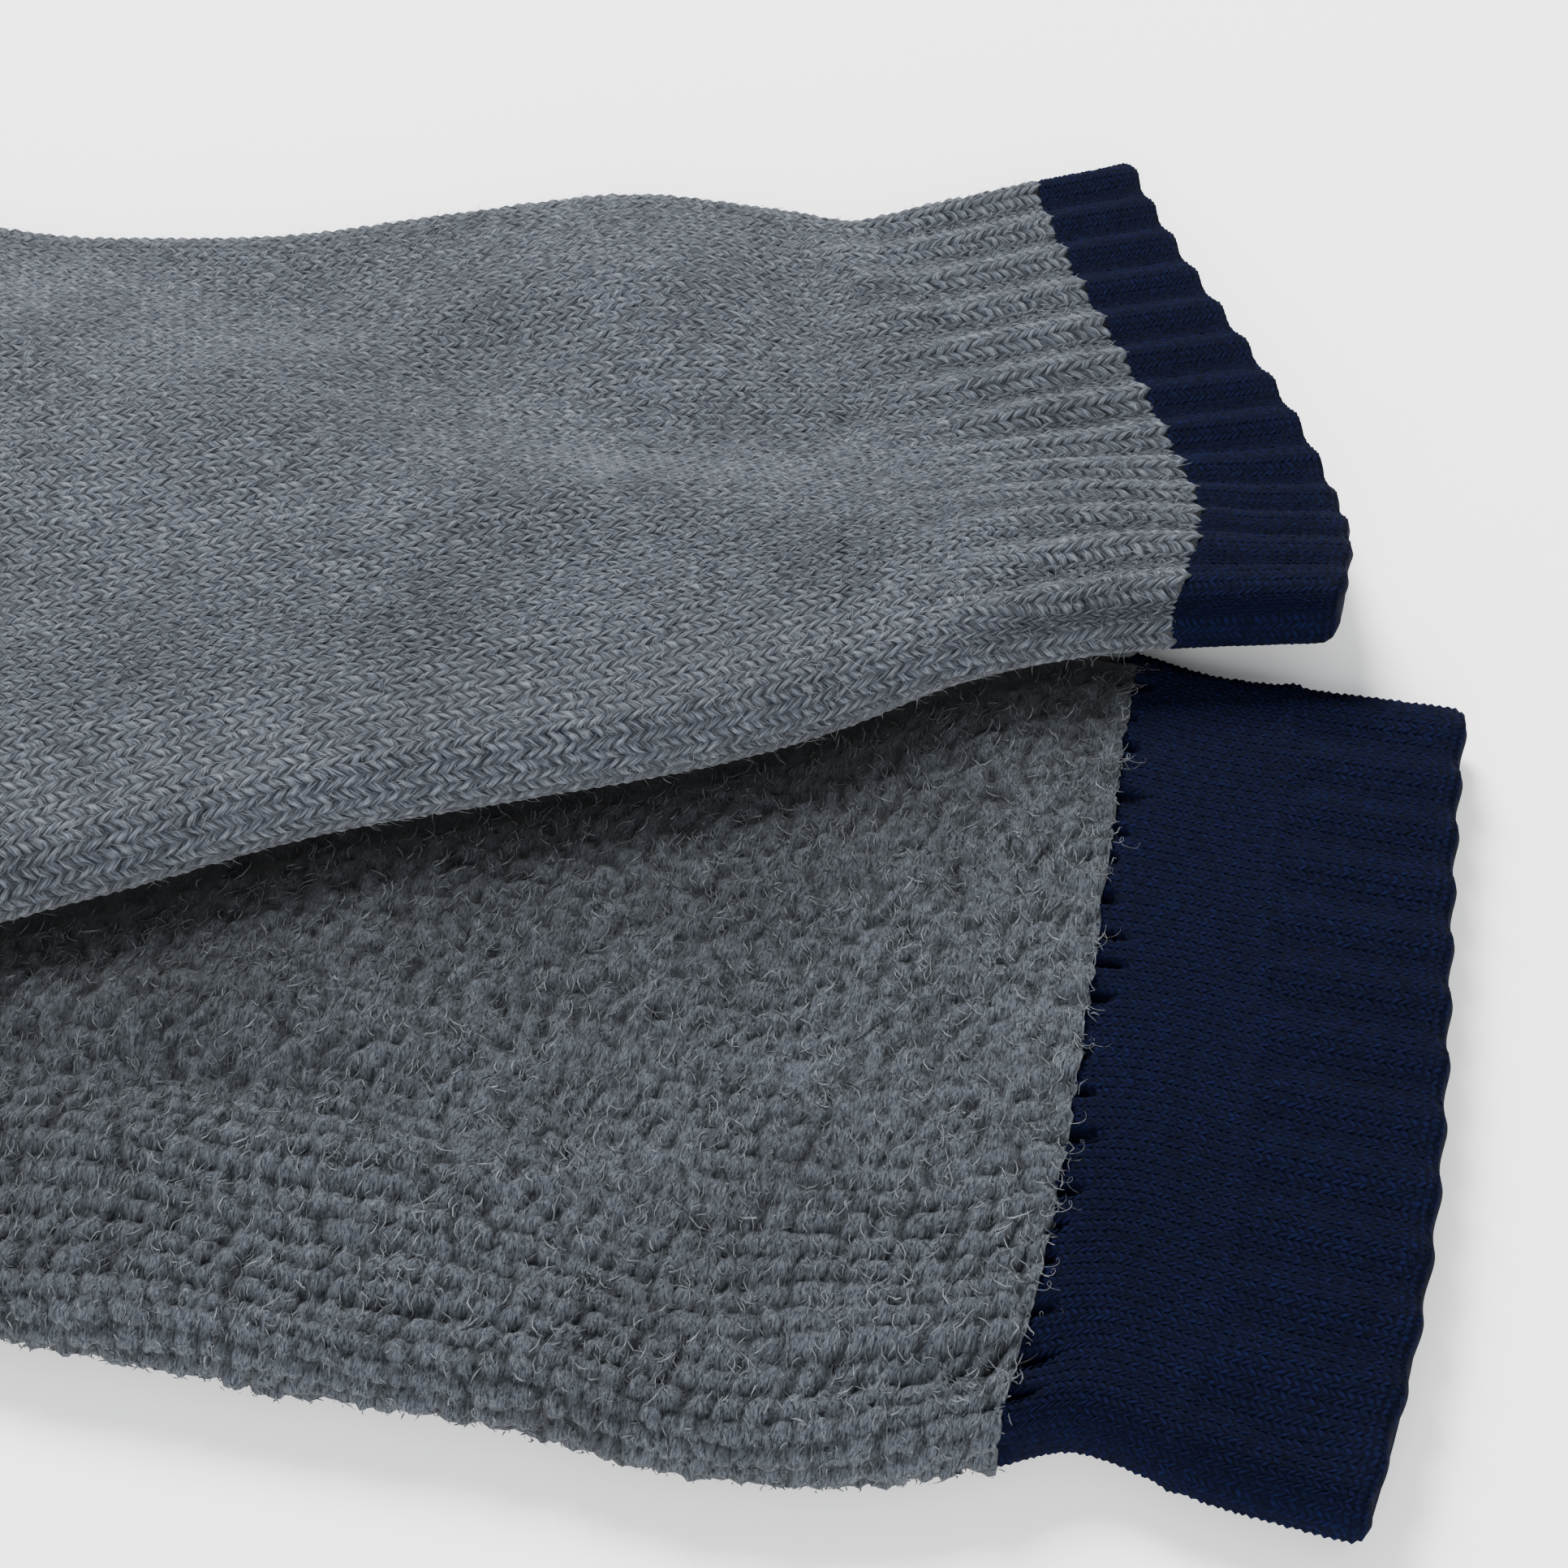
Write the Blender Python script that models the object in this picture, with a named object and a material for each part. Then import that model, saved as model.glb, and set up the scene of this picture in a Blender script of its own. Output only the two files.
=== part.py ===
"""A pair of thick wool socks lying flat: one right side out, on top of one turned inside out.

Lengths are written in millimetres and turned to metres where a point is placed.
X runs along the legs towards the mouths, Y away from the viewer, Z up from the surface.
"""
import math
from collections import namedtuple

import bmesh
import bpy

MM = 0.001

# The cloth: terry-lined wool, with a doubled welt of finer yarn round the mouth
LEG_WALL = 3.5
CUFF_WALL = 3.0
LEG_HALF = 4.2      # half the height of the flat sock at its edges, leg and foot
CUFF_HALF = 3.5     # the same at the mouth
CUFF_FULL_AT = 50.0     # mm from the mouth where the leg's full thickness is reached
PIECE_GAP = 0.46    # between two knitted sections
CONTACT = 0.3       # between the two socks

# Two-by-two rib, counted once round the tube
RIBS = 28
RIB_RISE = 0.75
BAND_RISE = 0.55
FACING_RISE = 0.45
GROOVE = 0.8        # a groove's depth beside a rib's height
RIB_FADE = 40.0     # mm over which the ribs die out below the band
GATHER_FROM = 20.0  # mm from the mouth where the facing's gathers begin
GATHER_SHARE = 0.8  # their height beside that of the ribs at the mouth
GATHER_FADE = 6.0   # mm over which they die out in the pile
MOUTH_SCALLOP = 0.6
SCALLOP_FADE = 6.0
LIP = 1.0           # the welt is folded round at the mouth, and each face turns in by this

# Where one knitted section ends and the next begins, in mm from the mouth
BAND_LENGTH = 16.0
RIBBED_LENGTH = 52.0
FACING_LENGTH = 33.0
LEG_LENGTH = 148.0

# The part of a turn round the tube that faces down
UNDERSIDE = (0.56, 0.94)

# The ribs show where the way out of the tube points this far up, and fade below it
SHOWING_FROM = -0.6
SHOWING_OVER = 0.8

# The upper sock lies over the lower one and comes down to the surface beside it
SHOULDER = 1.5
FALL = 30.0

# A flat sock still stands a little proud along its middle, where nothing lies on it
CROWN = 0.9
CROWN_ROUND = 0.8   # under 1 keeps the crown full towards the edges
BARE_MARGIN = 14.0
DEEPEST = 0.7       # how far a hollow may sink before the two layers would meet

# The bow of a row is deepest a little nearer the viewer than its middle
BOW_SKEW = 1.8

# The middle of the pair's own box, in the frame that the tables are written in
CENTRE_X = -124.23
CENTRE_Y = 11.0

# One row for each place measured along a leg: mm from the mouth, the edge that lies away
# from the viewer, the edge that lies nearer, and how far the middle runs on to the mouth
Row = namedtuple("Row", "at far_x far_y near_x near_y bow")

UPPER_ROWS = [
    Row(0.0, 40.1, 94.8, 53.9, 8.8, 7.6),
    Row(16.0, 28.5, 90.5, 37.6, 7.8, 7.2),
    Row(28.0, 18.5, 86.0, 27.0, 6.0, 4.5),
    Row(40.0, 6.5, 82.2, 16.0, 2.4, 4.0),
    Row(52.0, -4.0, 84.0, 5.0, -3.5, 3.0),
    Row(66.0, -19.0, 86.4, -7.0, -8.2, 2.0),
    Row(84.0, -37.5, 83.0, -23.5, -12.3, 1.0),
    Row(104.0, -58.0, 78.8, -43.0, -17.0, 0.0),
    Row(124.0, -79.0, 79.3, -62.0, -24.3, 0.0),
    Row(146.0, -101.0, 82.5, -83.0, -31.0, 0.0),
]

LOWER_ROWS = [
    Row(0.0, 67.4, 5.6, 46.6, -86.0, 2.6),
    Row(14.0, 53.0, 8.0, 33.5, -81.8, 2.0),
    Row(25.0, 42.5, 9.6, 24.0, -77.6, 1.8),
    Row(33.0, 35.2, 12.6, 17.0, -79.0, 1.5),
    Row(45.0, 24.0, 14.5, 6.0, -81.0, 1.0),
    Row(60.0, 10.0, 14.0, -8.5, -80.0, 0.0),
    Row(76.0, -6.0, 14.5, -23.5, -75.5, 0.0),
    Row(98.0, -28.0, 20.0, -45.0, -71.5, 0.0),
    Row(122.0, -52.0, 30.0, -68.0, -66.5, 0.0),
    Row(146.0, -75.0, 40.5, -92.0, -62.5, 0.0),
]

# The heel turns the foot away from the leg, round a point just outside the instep.
# heel is -1 where the heel lies at the near edge and 1 where it lies at the far edge
Turn = namedtuple("Turn", "pivot_x pivot_y leg_heading foot_heading heel")
UPPER_TURN = Turn(-113.0, 97.0, 189.0, 144.0, -1)
LOWER_TURN = Turn(-113.0, -75.0, 171.0, 216.0, 1)
TURN_FROM = 8.0     # mm on from the leg's last row
INSTEP_RADIUS = 14.0
HEEL_RADIUS = 123.0
HEEL_SWELL = 13.0
TURN_STEPS = 4

# The foot: mm on from the heel's turn, and the width there
FOOT_WIDTHS = ((30.0, 101.0), (65.0, 94.0), (110.0, 91.0))
TOE_AT = 150.0
TOE_WIDTH = 88.0
TOE_LENGTH = 46.0
TOE_ROUND = 2.4     # 2 would be an ellipse, more is blunter
TOE_TIP = 0.99      # how far round its curve the toe goes before it is seamed shut

# How closely the points lie along the socks, in mm, and round each rib's width
BAND_PITCH = 5.0
RIBBED_PITCH = 6.0
FACING_PITCH = 5.5
LEG_PITCH = 9.0
FOOT_PITCH = 11.0
OUTLINE_PITCH = 6.0
TOE_STEPS = 7
RIBBED_STEPS = 4
PLAIN_STEPS = 2
RESTING_STEPS = 1
SHARP_ANGLE = 50.0

# The largest folds: the middle of each, the way that it runs in degrees, its half length
# and half width in mm, and its rise, which is negative in a hollow
Fold = namedtuple("Fold", "x y heading length width rise")
UPPER_FOLDS = (
    Fold(-16.0, 72.0, 10.0, 20.0, 11.0, 1.1),
    Fold(2.0, 66.0, 75.0, 22.0, 6.0, -1.3),
    Fold(-12.0, 30.0, 15.0, 24.0, 9.0, 0.8),
    Fold(-34.0, 52.0, 70.0, 26.0, 9.0, -0.9),
    Fold(-62.0, 40.0, 20.0, 30.0, 12.0, 0.9),
    Fold(-88.0, 62.0, 60.0, 22.0, 8.0, -1.0),
    Fold(-122.0, 50.0, 80.0, 30.0, 7.0, -1.3),
    Fold(-142.0, 28.0, 100.0, 28.0, 10.0, 0.9),
    Fold(-205.0, 98.0, 145.0, 32.0, 14.0, 0.8),
    Fold(-232.0, 118.0, 60.0, 26.0, 8.0, -0.9),
)
LOWER_FOLDS = (
    Fold(6.0, -52.0, -8.0, 20.0, 9.0, 0.9),
    Fold(-20.0, -40.0, -60.0, 22.0, 8.0, -1.0),
    Fold(-48.0, -52.0, -8.0, 30.0, 4.5, 1.0),
    Fold(-52.0, -43.0, -8.0, 32.0, 4.0, -1.1),
    Fold(-70.0, -32.0, -10.0, 28.0, 5.0, 0.8),
    Fold(-128.0, -46.0, 100.0, 24.0, 7.0, -1.2),
    Fold(-205.0, -72.0, 35.0, 34.0, 14.0, 0.9),
    Fold(-238.0, -88.0, 120.0, 26.0, 8.0, -1.0),
)

Colour = namedtuple("Colour", "red green blue rough")
NAVY = Colour(0.006, 0.012, 0.048, 0.85)
GREY = Colour(0.135, 0.152, 0.175, 0.95)
TERRY = Colour(0.115, 0.132, 0.158, 1.0)


def smooth(value):
    """Zero below 0, one above 1, and an easy rise between."""
    value = min(1.0, max(0.0, value))
    return value * value * (3.0 - 2.0 * value)


def heading_vector(degrees):
    """A unit step in the plane, counted round from +X."""
    angle = math.radians(degrees)
    return math.cos(angle), math.sin(angle)


def turn_rows(start_at, turn):
    """Rows that fan round the instep, so that the heel side grows into a heel."""
    rows = []
    at = start_at
    middle = 0.5 * (INSTEP_RADIUS + HEEL_RADIUS)
    sweep = abs(turn.foot_heading - turn.leg_heading)
    for step in range(1, TURN_STEPS + 1):
        part = step / TURN_STEPS
        heading = turn.leg_heading + (turn.foot_heading - turn.leg_heading) * part
        ahead_x, ahead_y = heading_vector(heading)
        out_x, out_y = turn.heel * ahead_y, -turn.heel * ahead_x
        heel_radius = HEEL_RADIUS + HEEL_SWELL * math.sin(math.pi * part)
        instep = (turn.pivot_x + INSTEP_RADIUS * out_x, turn.pivot_y + INSTEP_RADIUS * out_y)
        heel = (turn.pivot_x + heel_radius * out_x, turn.pivot_y + heel_radius * out_y)
        at += middle * math.radians(sweep) / TURN_STEPS
        far, near = (instep, heel) if turn.heel < 0 else (heel, instep)
        rows.append(Row(at, far[0], far[1], near[0], near[1], 0.0))
    return rows


def foot_rows(last, turn):
    """Rows along the foot, narrowing from the heel to where the toe begins."""
    ahead_x, ahead_y = heading_vector(turn.foot_heading)
    across_x, across_y = -ahead_y, ahead_x
    if turn.heel < 0:
        instep = (last.far_x, last.far_y)
    else:
        instep = (last.near_x, last.near_y)
    side = -turn.heel
    rows = []
    for on, width in FOOT_WIDTHS + ((TOE_AT, TOE_WIDTH),):
        a = (instep[0] + ahead_x * on, instep[1] + ahead_y * on)
        b = (a[0] + side * across_x * width, a[1] + side * across_y * width)
        far, near = (a, b) if turn.heel < 0 else (b, a)
        rows.append(Row(last.at + on, far[0], far[1], near[0], near[1], 0.0))
    return rows


def all_rows(leg_rows, turn):
    """Every row of one sock, from the mouth to where the toe begins."""
    rows = list(leg_rows)
    rows += turn_rows(rows[-1].at + TURN_FROM, turn)
    rows += foot_rows(rows[-1], turn)
    return rows


def toe_row(base, at):
    """A row in the round of the toe: the last row of the foot, moved on and drawn in."""
    share = (at - base.at) / TOE_LENGTH
    narrow = (1.0 - share ** TOE_ROUND) ** (1.0 / TOE_ROUND)
    dx, dy = base.near_x - base.far_x, base.near_y - base.far_y
    width = math.hypot(dx, dy)
    mid_x = 0.5 * (base.far_x + base.near_x) + dy / width * (at - base.at)
    mid_y = 0.5 * (base.far_y + base.near_y) - dx / width * (at - base.at)
    half_x, half_y = 0.5 * dx * narrow, 0.5 * dy * narrow
    return Row(at, mid_x - half_x, mid_y - half_y, mid_x + half_x, mid_y + half_y, 0.0)


def read_row(rows, at):
    """The row at any distance from the mouth, on a smooth curve through the given ones."""
    if at > rows[-1].at:
        return toe_row(rows[-1], at)
    index = 0
    while index < len(rows) - 2 and rows[index + 1].at < at:
        index += 1
    low, high = rows[index], rows[index + 1]
    before = rows[max(0, index - 1)]
    after = rows[min(len(rows) - 1, index + 2)]
    span = high.at - low.at
    u = (at - low.at) / span
    values = []
    for column in range(1, len(low)):
        slope_low = (high[column] - before[column]) / (high.at - before.at) * span
        slope_high = (after[column] - low[column]) / (after.at - low.at) * span
        values.append(
            (2 * u ** 3 - 3 * u ** 2 + 1) * low[column]
            + (u ** 3 - 2 * u ** 2 + u) * slope_low
            + (3 * u ** 2 - 2 * u ** 3) * high[column]
            + (u ** 3 - u ** 2) * slope_high
        )
    return Row(at, *values)


def section_places(start, end, pitch):
    """Even places along the sock from one end of a section to the other."""
    count = max(2, round((end - start) / pitch))
    return [start + (end - start) * k / count for k in range(count + 1)]


def toe_places(toe_at, start, steps):
    """Places round the toe, closer together towards the tip."""
    first = math.asin((start - toe_at) / TOE_LENGTH)
    last = math.asin(TOE_TIP)
    angles = [first + (last - first) * k / steps for k in range(steps + 1)]
    return [toe_at + TOE_LENGTH * math.sin(angle) for angle in angles]


def outline(rows):
    """The flat sock's outline seen from above, once round."""
    places = section_places(rows[0].at, rows[-1].at, OUTLINE_PITCH)[:-1]
    places += toe_places(rows[-1].at, rows[-1].at, TOE_STEPS)
    read = [read_row(rows, at) for at in places]
    far_side = [(row.far_x, row.far_y) for row in read]
    near_side = [(row.near_x, row.near_y) for row in reversed(read)]
    return far_side + near_side


def distance_outside(x, y, edge):
    """How far a point lies outside an outline, and zero inside it."""
    nearest = 1e9
    inside = False
    for (ax, ay), (bx, by) in zip(edge, edge[1:] + edge[:1]):
        dx, dy = bx - ax, by - ay
        length = dx * dx + dy * dy
        along = 0.0 if length == 0.0 else ((x - ax) * dx + (y - ay) * dy) / length
        along = min(1.0, max(0.0, along))
        nearest = min(nearest, math.hypot(ax + dx * along - x, ay + dy * along - y))
        if (ay > y) != (by > y) and x < ax + dx * (y - ay) / dy:
            inside = not inside
    return 0.0 if inside else nearest


UPPER_ALL = all_rows(UPPER_ROWS, UPPER_TURN)
LOWER_ALL = all_rows(LOWER_ROWS, LOWER_TURN)
UPPER_OUTLINE = outline(UPPER_ALL)
LOWER_OUTLINE = outline(LOWER_ALL)


def rest_upper(x, y):
    """What the upper sock lies on: the lower sock, and the surface beside it."""
    beyond = max(0.0, distance_outside(x, y, LOWER_OUTLINE) - SHOULDER)
    return (2.0 * LEG_HALF + CONTACT) * (1.0 - smooth(beyond / FALL))


def rest_lower(x, y):
    """The lower sock lies on the surface all over."""
    return 0.0


def bare_upper(x, y):
    """Nothing lies on the upper sock."""
    return 1.0


def bare_lower(x, y):
    """How free the lower sock is of the one on top, from 0 under it to 1 well beside it."""
    return smooth(distance_outside(x, y, UPPER_OUTLINE) / BARE_MARGIN)


def rib_wave(turns):
    """The cross-section of the ribs: a full round rib and a narrower groove."""
    wave = math.cos(2.0 * math.pi * RIBS * turns)
    return wave if wave > 0.0 else wave * GROOVE


def relief_upper(at, turns):
    """Ribs on the band and below it, which die out into the plain leg."""
    if at < BAND_LENGTH:
        return BAND_RISE * rib_wave(turns)
    fade = 1.0 - smooth((at - BAND_LENGTH) / RIB_FADE)
    return RIB_RISE * fade * rib_wave(turns)


def relief_lower(at, turns):
    """Soft ribs of the facing, deepest at the mouth and again where it is gathered in."""
    mouth = 1.0 - smooth(at / GATHER_FROM)
    gathers = smooth((at - GATHER_FROM) / (FACING_LENGTH - GATHER_FROM))
    if at > FACING_LENGTH:
        gathers = 1.0 - smooth((at - FACING_LENGTH) / GATHER_FADE)
    return FACING_RISE * max(mouth, GATHER_SHARE * gathers) * rib_wave(turns)


Sock = namedtuple("Sock", "rows folds rest bare relief")
UPPER = Sock(UPPER_ALL, UPPER_FOLDS, rest_upper, bare_upper, relief_upper)
LOWER = Sock(LOWER_ALL, LOWER_FOLDS, rest_lower, bare_lower, relief_lower)


def half_height(at):
    """Half the height of the flat sock at its edges."""
    return CUFF_HALF + (LEG_HALF - CUFF_HALF) * smooth(at / CUFF_FULL_AT)


def tip_round(sock, at):
    """The share of its half height that the toe keeps, down to nearly none at the tip."""
    to_tip = sock.rows[-1].at + TOE_LENGTH - at
    if to_tip >= LEG_HALF:
        return 1.0
    return math.sqrt(1.0 - (1.0 - to_tip / LEG_HALF) ** 2)


def wall_at(at):
    """The thickness of the cloth."""
    return CUFF_WALL + (LEG_WALL - CUFF_WALL) * smooth(at / CUFF_FULL_AT)


def flat_section(turns, half_width, half):
    """A point on the middle line of a flat tube and the way out from it.

    turns runs from 0 at the far edge over the top to a half at the near edge, and back
    below. The place is counted across from the far edge; the way out is across and up.
    """
    straight = 2.0 * (half_width - half)
    quarter = 0.5 * math.pi * half
    along = (turns % 1.0) * (2.0 * straight + 4.0 * quarter)
    if along < quarter:
        angle = along / half
        return half, -math.cos(angle), math.sin(angle)
    along -= quarter
    if along < straight:
        return half + along, 0.0, 1.0
    along -= straight
    if along < 2.0 * quarter:
        angle = along / half
        return half + straight, math.sin(angle), math.cos(angle)
    along -= 2.0 * quarter
    if along < straight:
        return half + straight - along, 0.0, -1.0
    angle = (along - straight) / half
    return half, -math.sin(angle), -math.cos(angle)


def fold_height(folds, x, y):
    """The sum of the large folds at one place."""
    height = 0.0
    for fold in folds:
        ahead_x, ahead_y = heading_vector(fold.heading)
        along = ((x - fold.x) * ahead_x + (y - fold.y) * ahead_y) / fold.length
        aside = ((y - fold.y) * ahead_x - (x - fold.x) * ahead_y) / fold.width
        height += fold.rise * math.exp(-along * along - aside * aside)
    return height


def cloth_point(sock, at, turns, depth, ribbed):
    """A point of the cloth, depth mm in from its outer face, in metres.

    Only the outer face is ribbed, and not where it lies on something.
    """
    row = read_row(sock.rows, at)
    middle = half_height(at)
    half = middle * tip_round(sock, at)
    dx, dy = row.near_x - row.far_x, row.near_y - row.far_y
    width = math.hypot(dx, dy)
    place, out_across, out_up = flat_section(turns, 0.5 * width, half)
    showing = smooth((out_up - SHOWING_FROM) / SHOWING_OVER)
    radius = half - depth
    scallop = 0.0
    if ribbed:
        radius += sock.relief(at, turns) * showing
        scallop = MOUTH_SCALLOP * rib_wave(turns) * showing * (1.0 - smooth(at / SCALLOP_FADE))
    share = (place + radius * out_across) / width
    inside = min(1.0, max(0.0, share))
    ahead = row.bow * math.sin(math.pi * inside ** BOW_SKEW) + scallop
    x = row.far_x + dx * share - dy / width * ahead
    y = row.far_y + dy * share + dx / width * ahead
    crown = CROWN * math.sin(math.pi * inside) ** CROWN_ROUND
    proud = max(-DEEPEST, (crown + fold_height(sock.folds, x, y)) * sock.bare(x, y))
    proud *= smooth(0.5 + 0.5 * out_up) * min(1.0, width / TOE_WIDTH)
    z = middle + radius * out_up + proud + sock.rest(x, y)
    return (x - CENTRE_X) * MM, (y - CENTRE_Y) * MM, z * MM


def sector_steps(on_top):
    """How many outer points each rib's width takes: more above, fewer where it rests."""
    steps = []
    for sector in range(RIBS):
        middle = (sector + 0.5) / RIBS
        resting = UNDERSIDE[0] < middle < UNDERSIDE[1]
        steps.append(RESTING_STEPS if resting else on_top)
    return steps


def outer_turns(steps):
    """The places round the tube of a ring's outer points."""
    turns = []
    for sector, count in enumerate(steps):
        turns += [(sector + k / count) / RIBS for k in range(count)]
    return turns


def knit_section(name, sock, places, steps, colour, toe=False):
    """One knitted section as a tube of real thickness, open at both ends or closed at the toe."""
    mesh = bpy.data.meshes.new(name)
    solid = bpy.data.objects.new(name, mesh)
    bm = bmesh.new()
    turns = outer_turns(steps)
    first_of = [sum(steps[:sector]) for sector in range(RIBS + 1)]
    outer = []
    inner = []
    inner_places = [at for at in places if not toe or at < places[-1] - LEG_WALL - 1.0]
    for at in places:
        lip = max(0.0, LIP - at)
        outer.append([bm.verts.new(cloth_point(sock, at, t, lip, True)) for t in turns])
    for at in inner_places:
        depth = wall_at(at) - max(0.0, LIP - at)
        ring = [cloth_point(sock, at, k / RIBS, depth, False) for k in range(RIBS)]
        inner.append([bm.verts.new(point) for point in ring])
    for low, high in zip(outer, outer[1:]):
        for k in range(len(turns)):
            after = (k + 1) % len(turns)
            bm.faces.new((low[k], low[after], high[after], high[k]))
    for low, high in zip(inner, inner[1:]):
        for k in range(RIBS):
            after = (k + 1) % RIBS
            bm.faces.new((low[after], low[k], high[k], high[after]))
    close_rim(bm, outer[0], inner[0], first_of, True)
    if toe:
        bm.faces.new(outer[-1])
        bm.faces.new(list(reversed(inner[-1])))
    else:
        close_rim(bm, outer[-1], inner[-1], first_of, False)
    bmesh.ops.recalc_face_normals(bm, faces=bm.faces[:])
    bm.to_mesh(mesh)
    bm.free()
    mesh.shade_smooth()
    mesh.set_sharp_from_angle(angle=math.radians(SHARP_ANGLE))
    mesh.materials.append(knit_material(name, colour))
    return solid


def close_rim(bm, outer_ring, inner_ring, first_of, at_start):
    """Join the two faces of the cloth at an end, one face for each rib's width."""
    for sector in range(RIBS):
        last = first_of[sector + 1]
        edge = [outer_ring[k % len(outer_ring)] for k in range(first_of[sector], last + 1)]
        corner = [inner_ring[(sector + 1) % RIBS], inner_ring[sector]]
        face = edge + corner
        if at_start:
            face.reverse()
        bm.faces.new(face)


def between(start, end, pitch):
    """Places for one section, held back by half a gap wherever another section joins it."""
    last = end - 0.5 * PIECE_GAP
    if start == 0.0:
        return [start] + section_places(LIP, last, pitch)
    return section_places(start + 0.5 * PIECE_GAP, last, pitch)


def knit_material(name, colour):
    """A dull wool colour for one section."""
    material = bpy.data.materials.new(name + "_wool")
    material.use_nodes = True
    shader = material.node_tree.nodes["Principled BSDF"]
    shader.inputs["Base Color"].default_value = (colour.red, colour.green, colour.blue, 1.0)
    shader.inputs["Roughness"].default_value = colour.rough
    shader.inputs["Metallic"].default_value = 0.0
    return material


def main():
    for old in list(bpy.data.objects):
        bpy.data.objects.remove(old, do_unlink=True)
    pair = bpy.data.collections.new("wool_socks")
    bpy.context.scene.collection.children.link(pair)
    ribbed = sector_steps(RIBBED_STEPS)
    plain = sector_steps(PLAIN_STEPS)
    band = between(0.0, BAND_LENGTH, BAND_PITCH)
    ribbed_top = between(BAND_LENGTH, RIBBED_LENGTH, RIBBED_PITCH)
    upper_leg = between(RIBBED_LENGTH, LEG_LENGTH, LEG_PITCH)
    facing = between(0.0, FACING_LENGTH, FACING_PITCH)
    lower_leg = between(FACING_LENGTH, LEG_LENGTH, LEG_PITCH)
    solids = [
        knit_section("upper_cuff_band", UPPER, band, ribbed, NAVY),
        knit_section("upper_ribbed_top", UPPER, ribbed_top, ribbed, GREY),
        knit_section("upper_leg", UPPER, upper_leg, plain, GREY),
        knit_section("lower_cuff_facing", LOWER, facing, ribbed, NAVY),
        knit_section("lower_leg", LOWER, lower_leg, plain, TERRY),
    ]
    for name, sock, colour in (("upper", UPPER, GREY), ("lower", LOWER, TERRY)):
        toe_at = sock.rows[-1].at
        foot = between(LEG_LENGTH, toe_at, FOOT_PITCH)
        toe = toe_places(toe_at, toe_at + 0.5 * PIECE_GAP, TOE_STEPS)
        solids.append(knit_section(name + "_heel_and_foot", sock, foot, plain, colour))
        solids.append(knit_section(name + "_toe", sock, toe, plain, colour, toe=True))
    for solid in solids:
        pair.objects.link(solid)


main()
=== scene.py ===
# %% [markdown]
# # A pair of wool socks
# Two thick socks lie flat, their mouths to the right. The upper one is right side out: grey plain
# knit, a ribbed top and a navy band. The lower one is turned inside out and shows the loop pile
# that lines it, and the navy facing behind its band.
#
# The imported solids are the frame. Each knitted section is drawn again on the same form, fine
# enough to show its stitches, and stands for its solid. Lengths are written in millimetres.

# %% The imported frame
import math
from collections import namedtuple

import bmesh
import bpy
import numpy as np
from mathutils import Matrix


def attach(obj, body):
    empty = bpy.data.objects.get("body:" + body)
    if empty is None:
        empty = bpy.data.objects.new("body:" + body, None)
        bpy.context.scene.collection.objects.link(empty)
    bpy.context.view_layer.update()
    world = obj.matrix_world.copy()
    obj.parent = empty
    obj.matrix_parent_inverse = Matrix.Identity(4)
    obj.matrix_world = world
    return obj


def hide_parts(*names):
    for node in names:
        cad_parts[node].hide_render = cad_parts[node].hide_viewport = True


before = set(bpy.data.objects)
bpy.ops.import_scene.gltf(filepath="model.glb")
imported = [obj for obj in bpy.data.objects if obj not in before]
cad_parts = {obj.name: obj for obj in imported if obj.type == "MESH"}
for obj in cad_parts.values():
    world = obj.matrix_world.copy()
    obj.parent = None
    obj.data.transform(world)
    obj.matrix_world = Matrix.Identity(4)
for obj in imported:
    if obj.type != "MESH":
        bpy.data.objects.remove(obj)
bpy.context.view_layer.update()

bpy.ops.object.select_all(action="DESELECT")
MM = 0.001
print("knitted sections in the frame:", sorted(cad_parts))

# %% [markdown]
# ## The form of a flat sock
# A sock is one knitted tube. Pressed flat it is a stadium in section: two layers that lie on each
# other, joined by a round edge at either side. It could be sculpted, but a table of rows is easier
# to keep true to the solids: each row gives the two edges at one distance from the mouth, and a
# smooth curve runs through the rows.

# %% Sizes and rows
LEG_WALL = 3.5          # the terry-lined cloth of the leg
CUFF_WALL = 3.0
LEG_HALF = 4.2          # half the height of the flat sock at its edges
CUFF_HALF = 3.5
CUFF_FULL_AT = 50.0     # from here on the sock is as thick as the leg

BAND_LENGTH = 16.0      # these four run from the mouth to the end of a section
RIBBED_LENGTH = 52.0
FACING_LENGTH = 33.0
LEG_LENGTH = 148.0

CENTRE_X = -124.23      # the middle of the pair, which comes to lie at the origin
CENTRE_Y = 11.0

Row = namedtuple("Row", "at far_x far_y near_x near_y bow")
UPPER_ROWS = [Row(*row) for row in (
    (0, 40.1, 94.8, 53.9, 8.8, 7.6),
    (16, 28.5, 90.5, 37.6, 7.8, 7.2),
    (28, 18.5, 86, 27, 6, 4.5),
    (40, 6.5, 82.2, 16, 2.4, 4),
    (52, -4, 84, 5, -3.5, 3),
    (66, -19, 86.4, -7, -8.2, 2),
    (84, -37.5, 83, -23.5, -12.3, 1),
    (104, -58, 78.8, -43, -17, 0),
    (124, -79, 79.3, -62, -24.3, 0),
    (146, -101, 82.5, -83, -31, 0),
)]
LOWER_ROWS = [Row(*row) for row in (
    (0, 67.4, 5.6, 46.6, -86, 2.6),
    (14, 53, 8, 33.5, -81.8, 2),
    (25, 42.5, 9.6, 24, -77.6, 1.8),
    (33, 35.2, 12.6, 17, -79, 1.5),
    (45, 24, 14.5, 6, -81, 1),
    (60, 10, 14, -8.5, -80, 0),
    (76, -6, 14.5, -23.5, -75.5, 0),
    (98, -28, 20, -45, -71.5, 0),
    (122, -52, 30, -68, -66.5, 0),
    (146, -75, 40.5, -92, -62.5, 0),
)]

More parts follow.
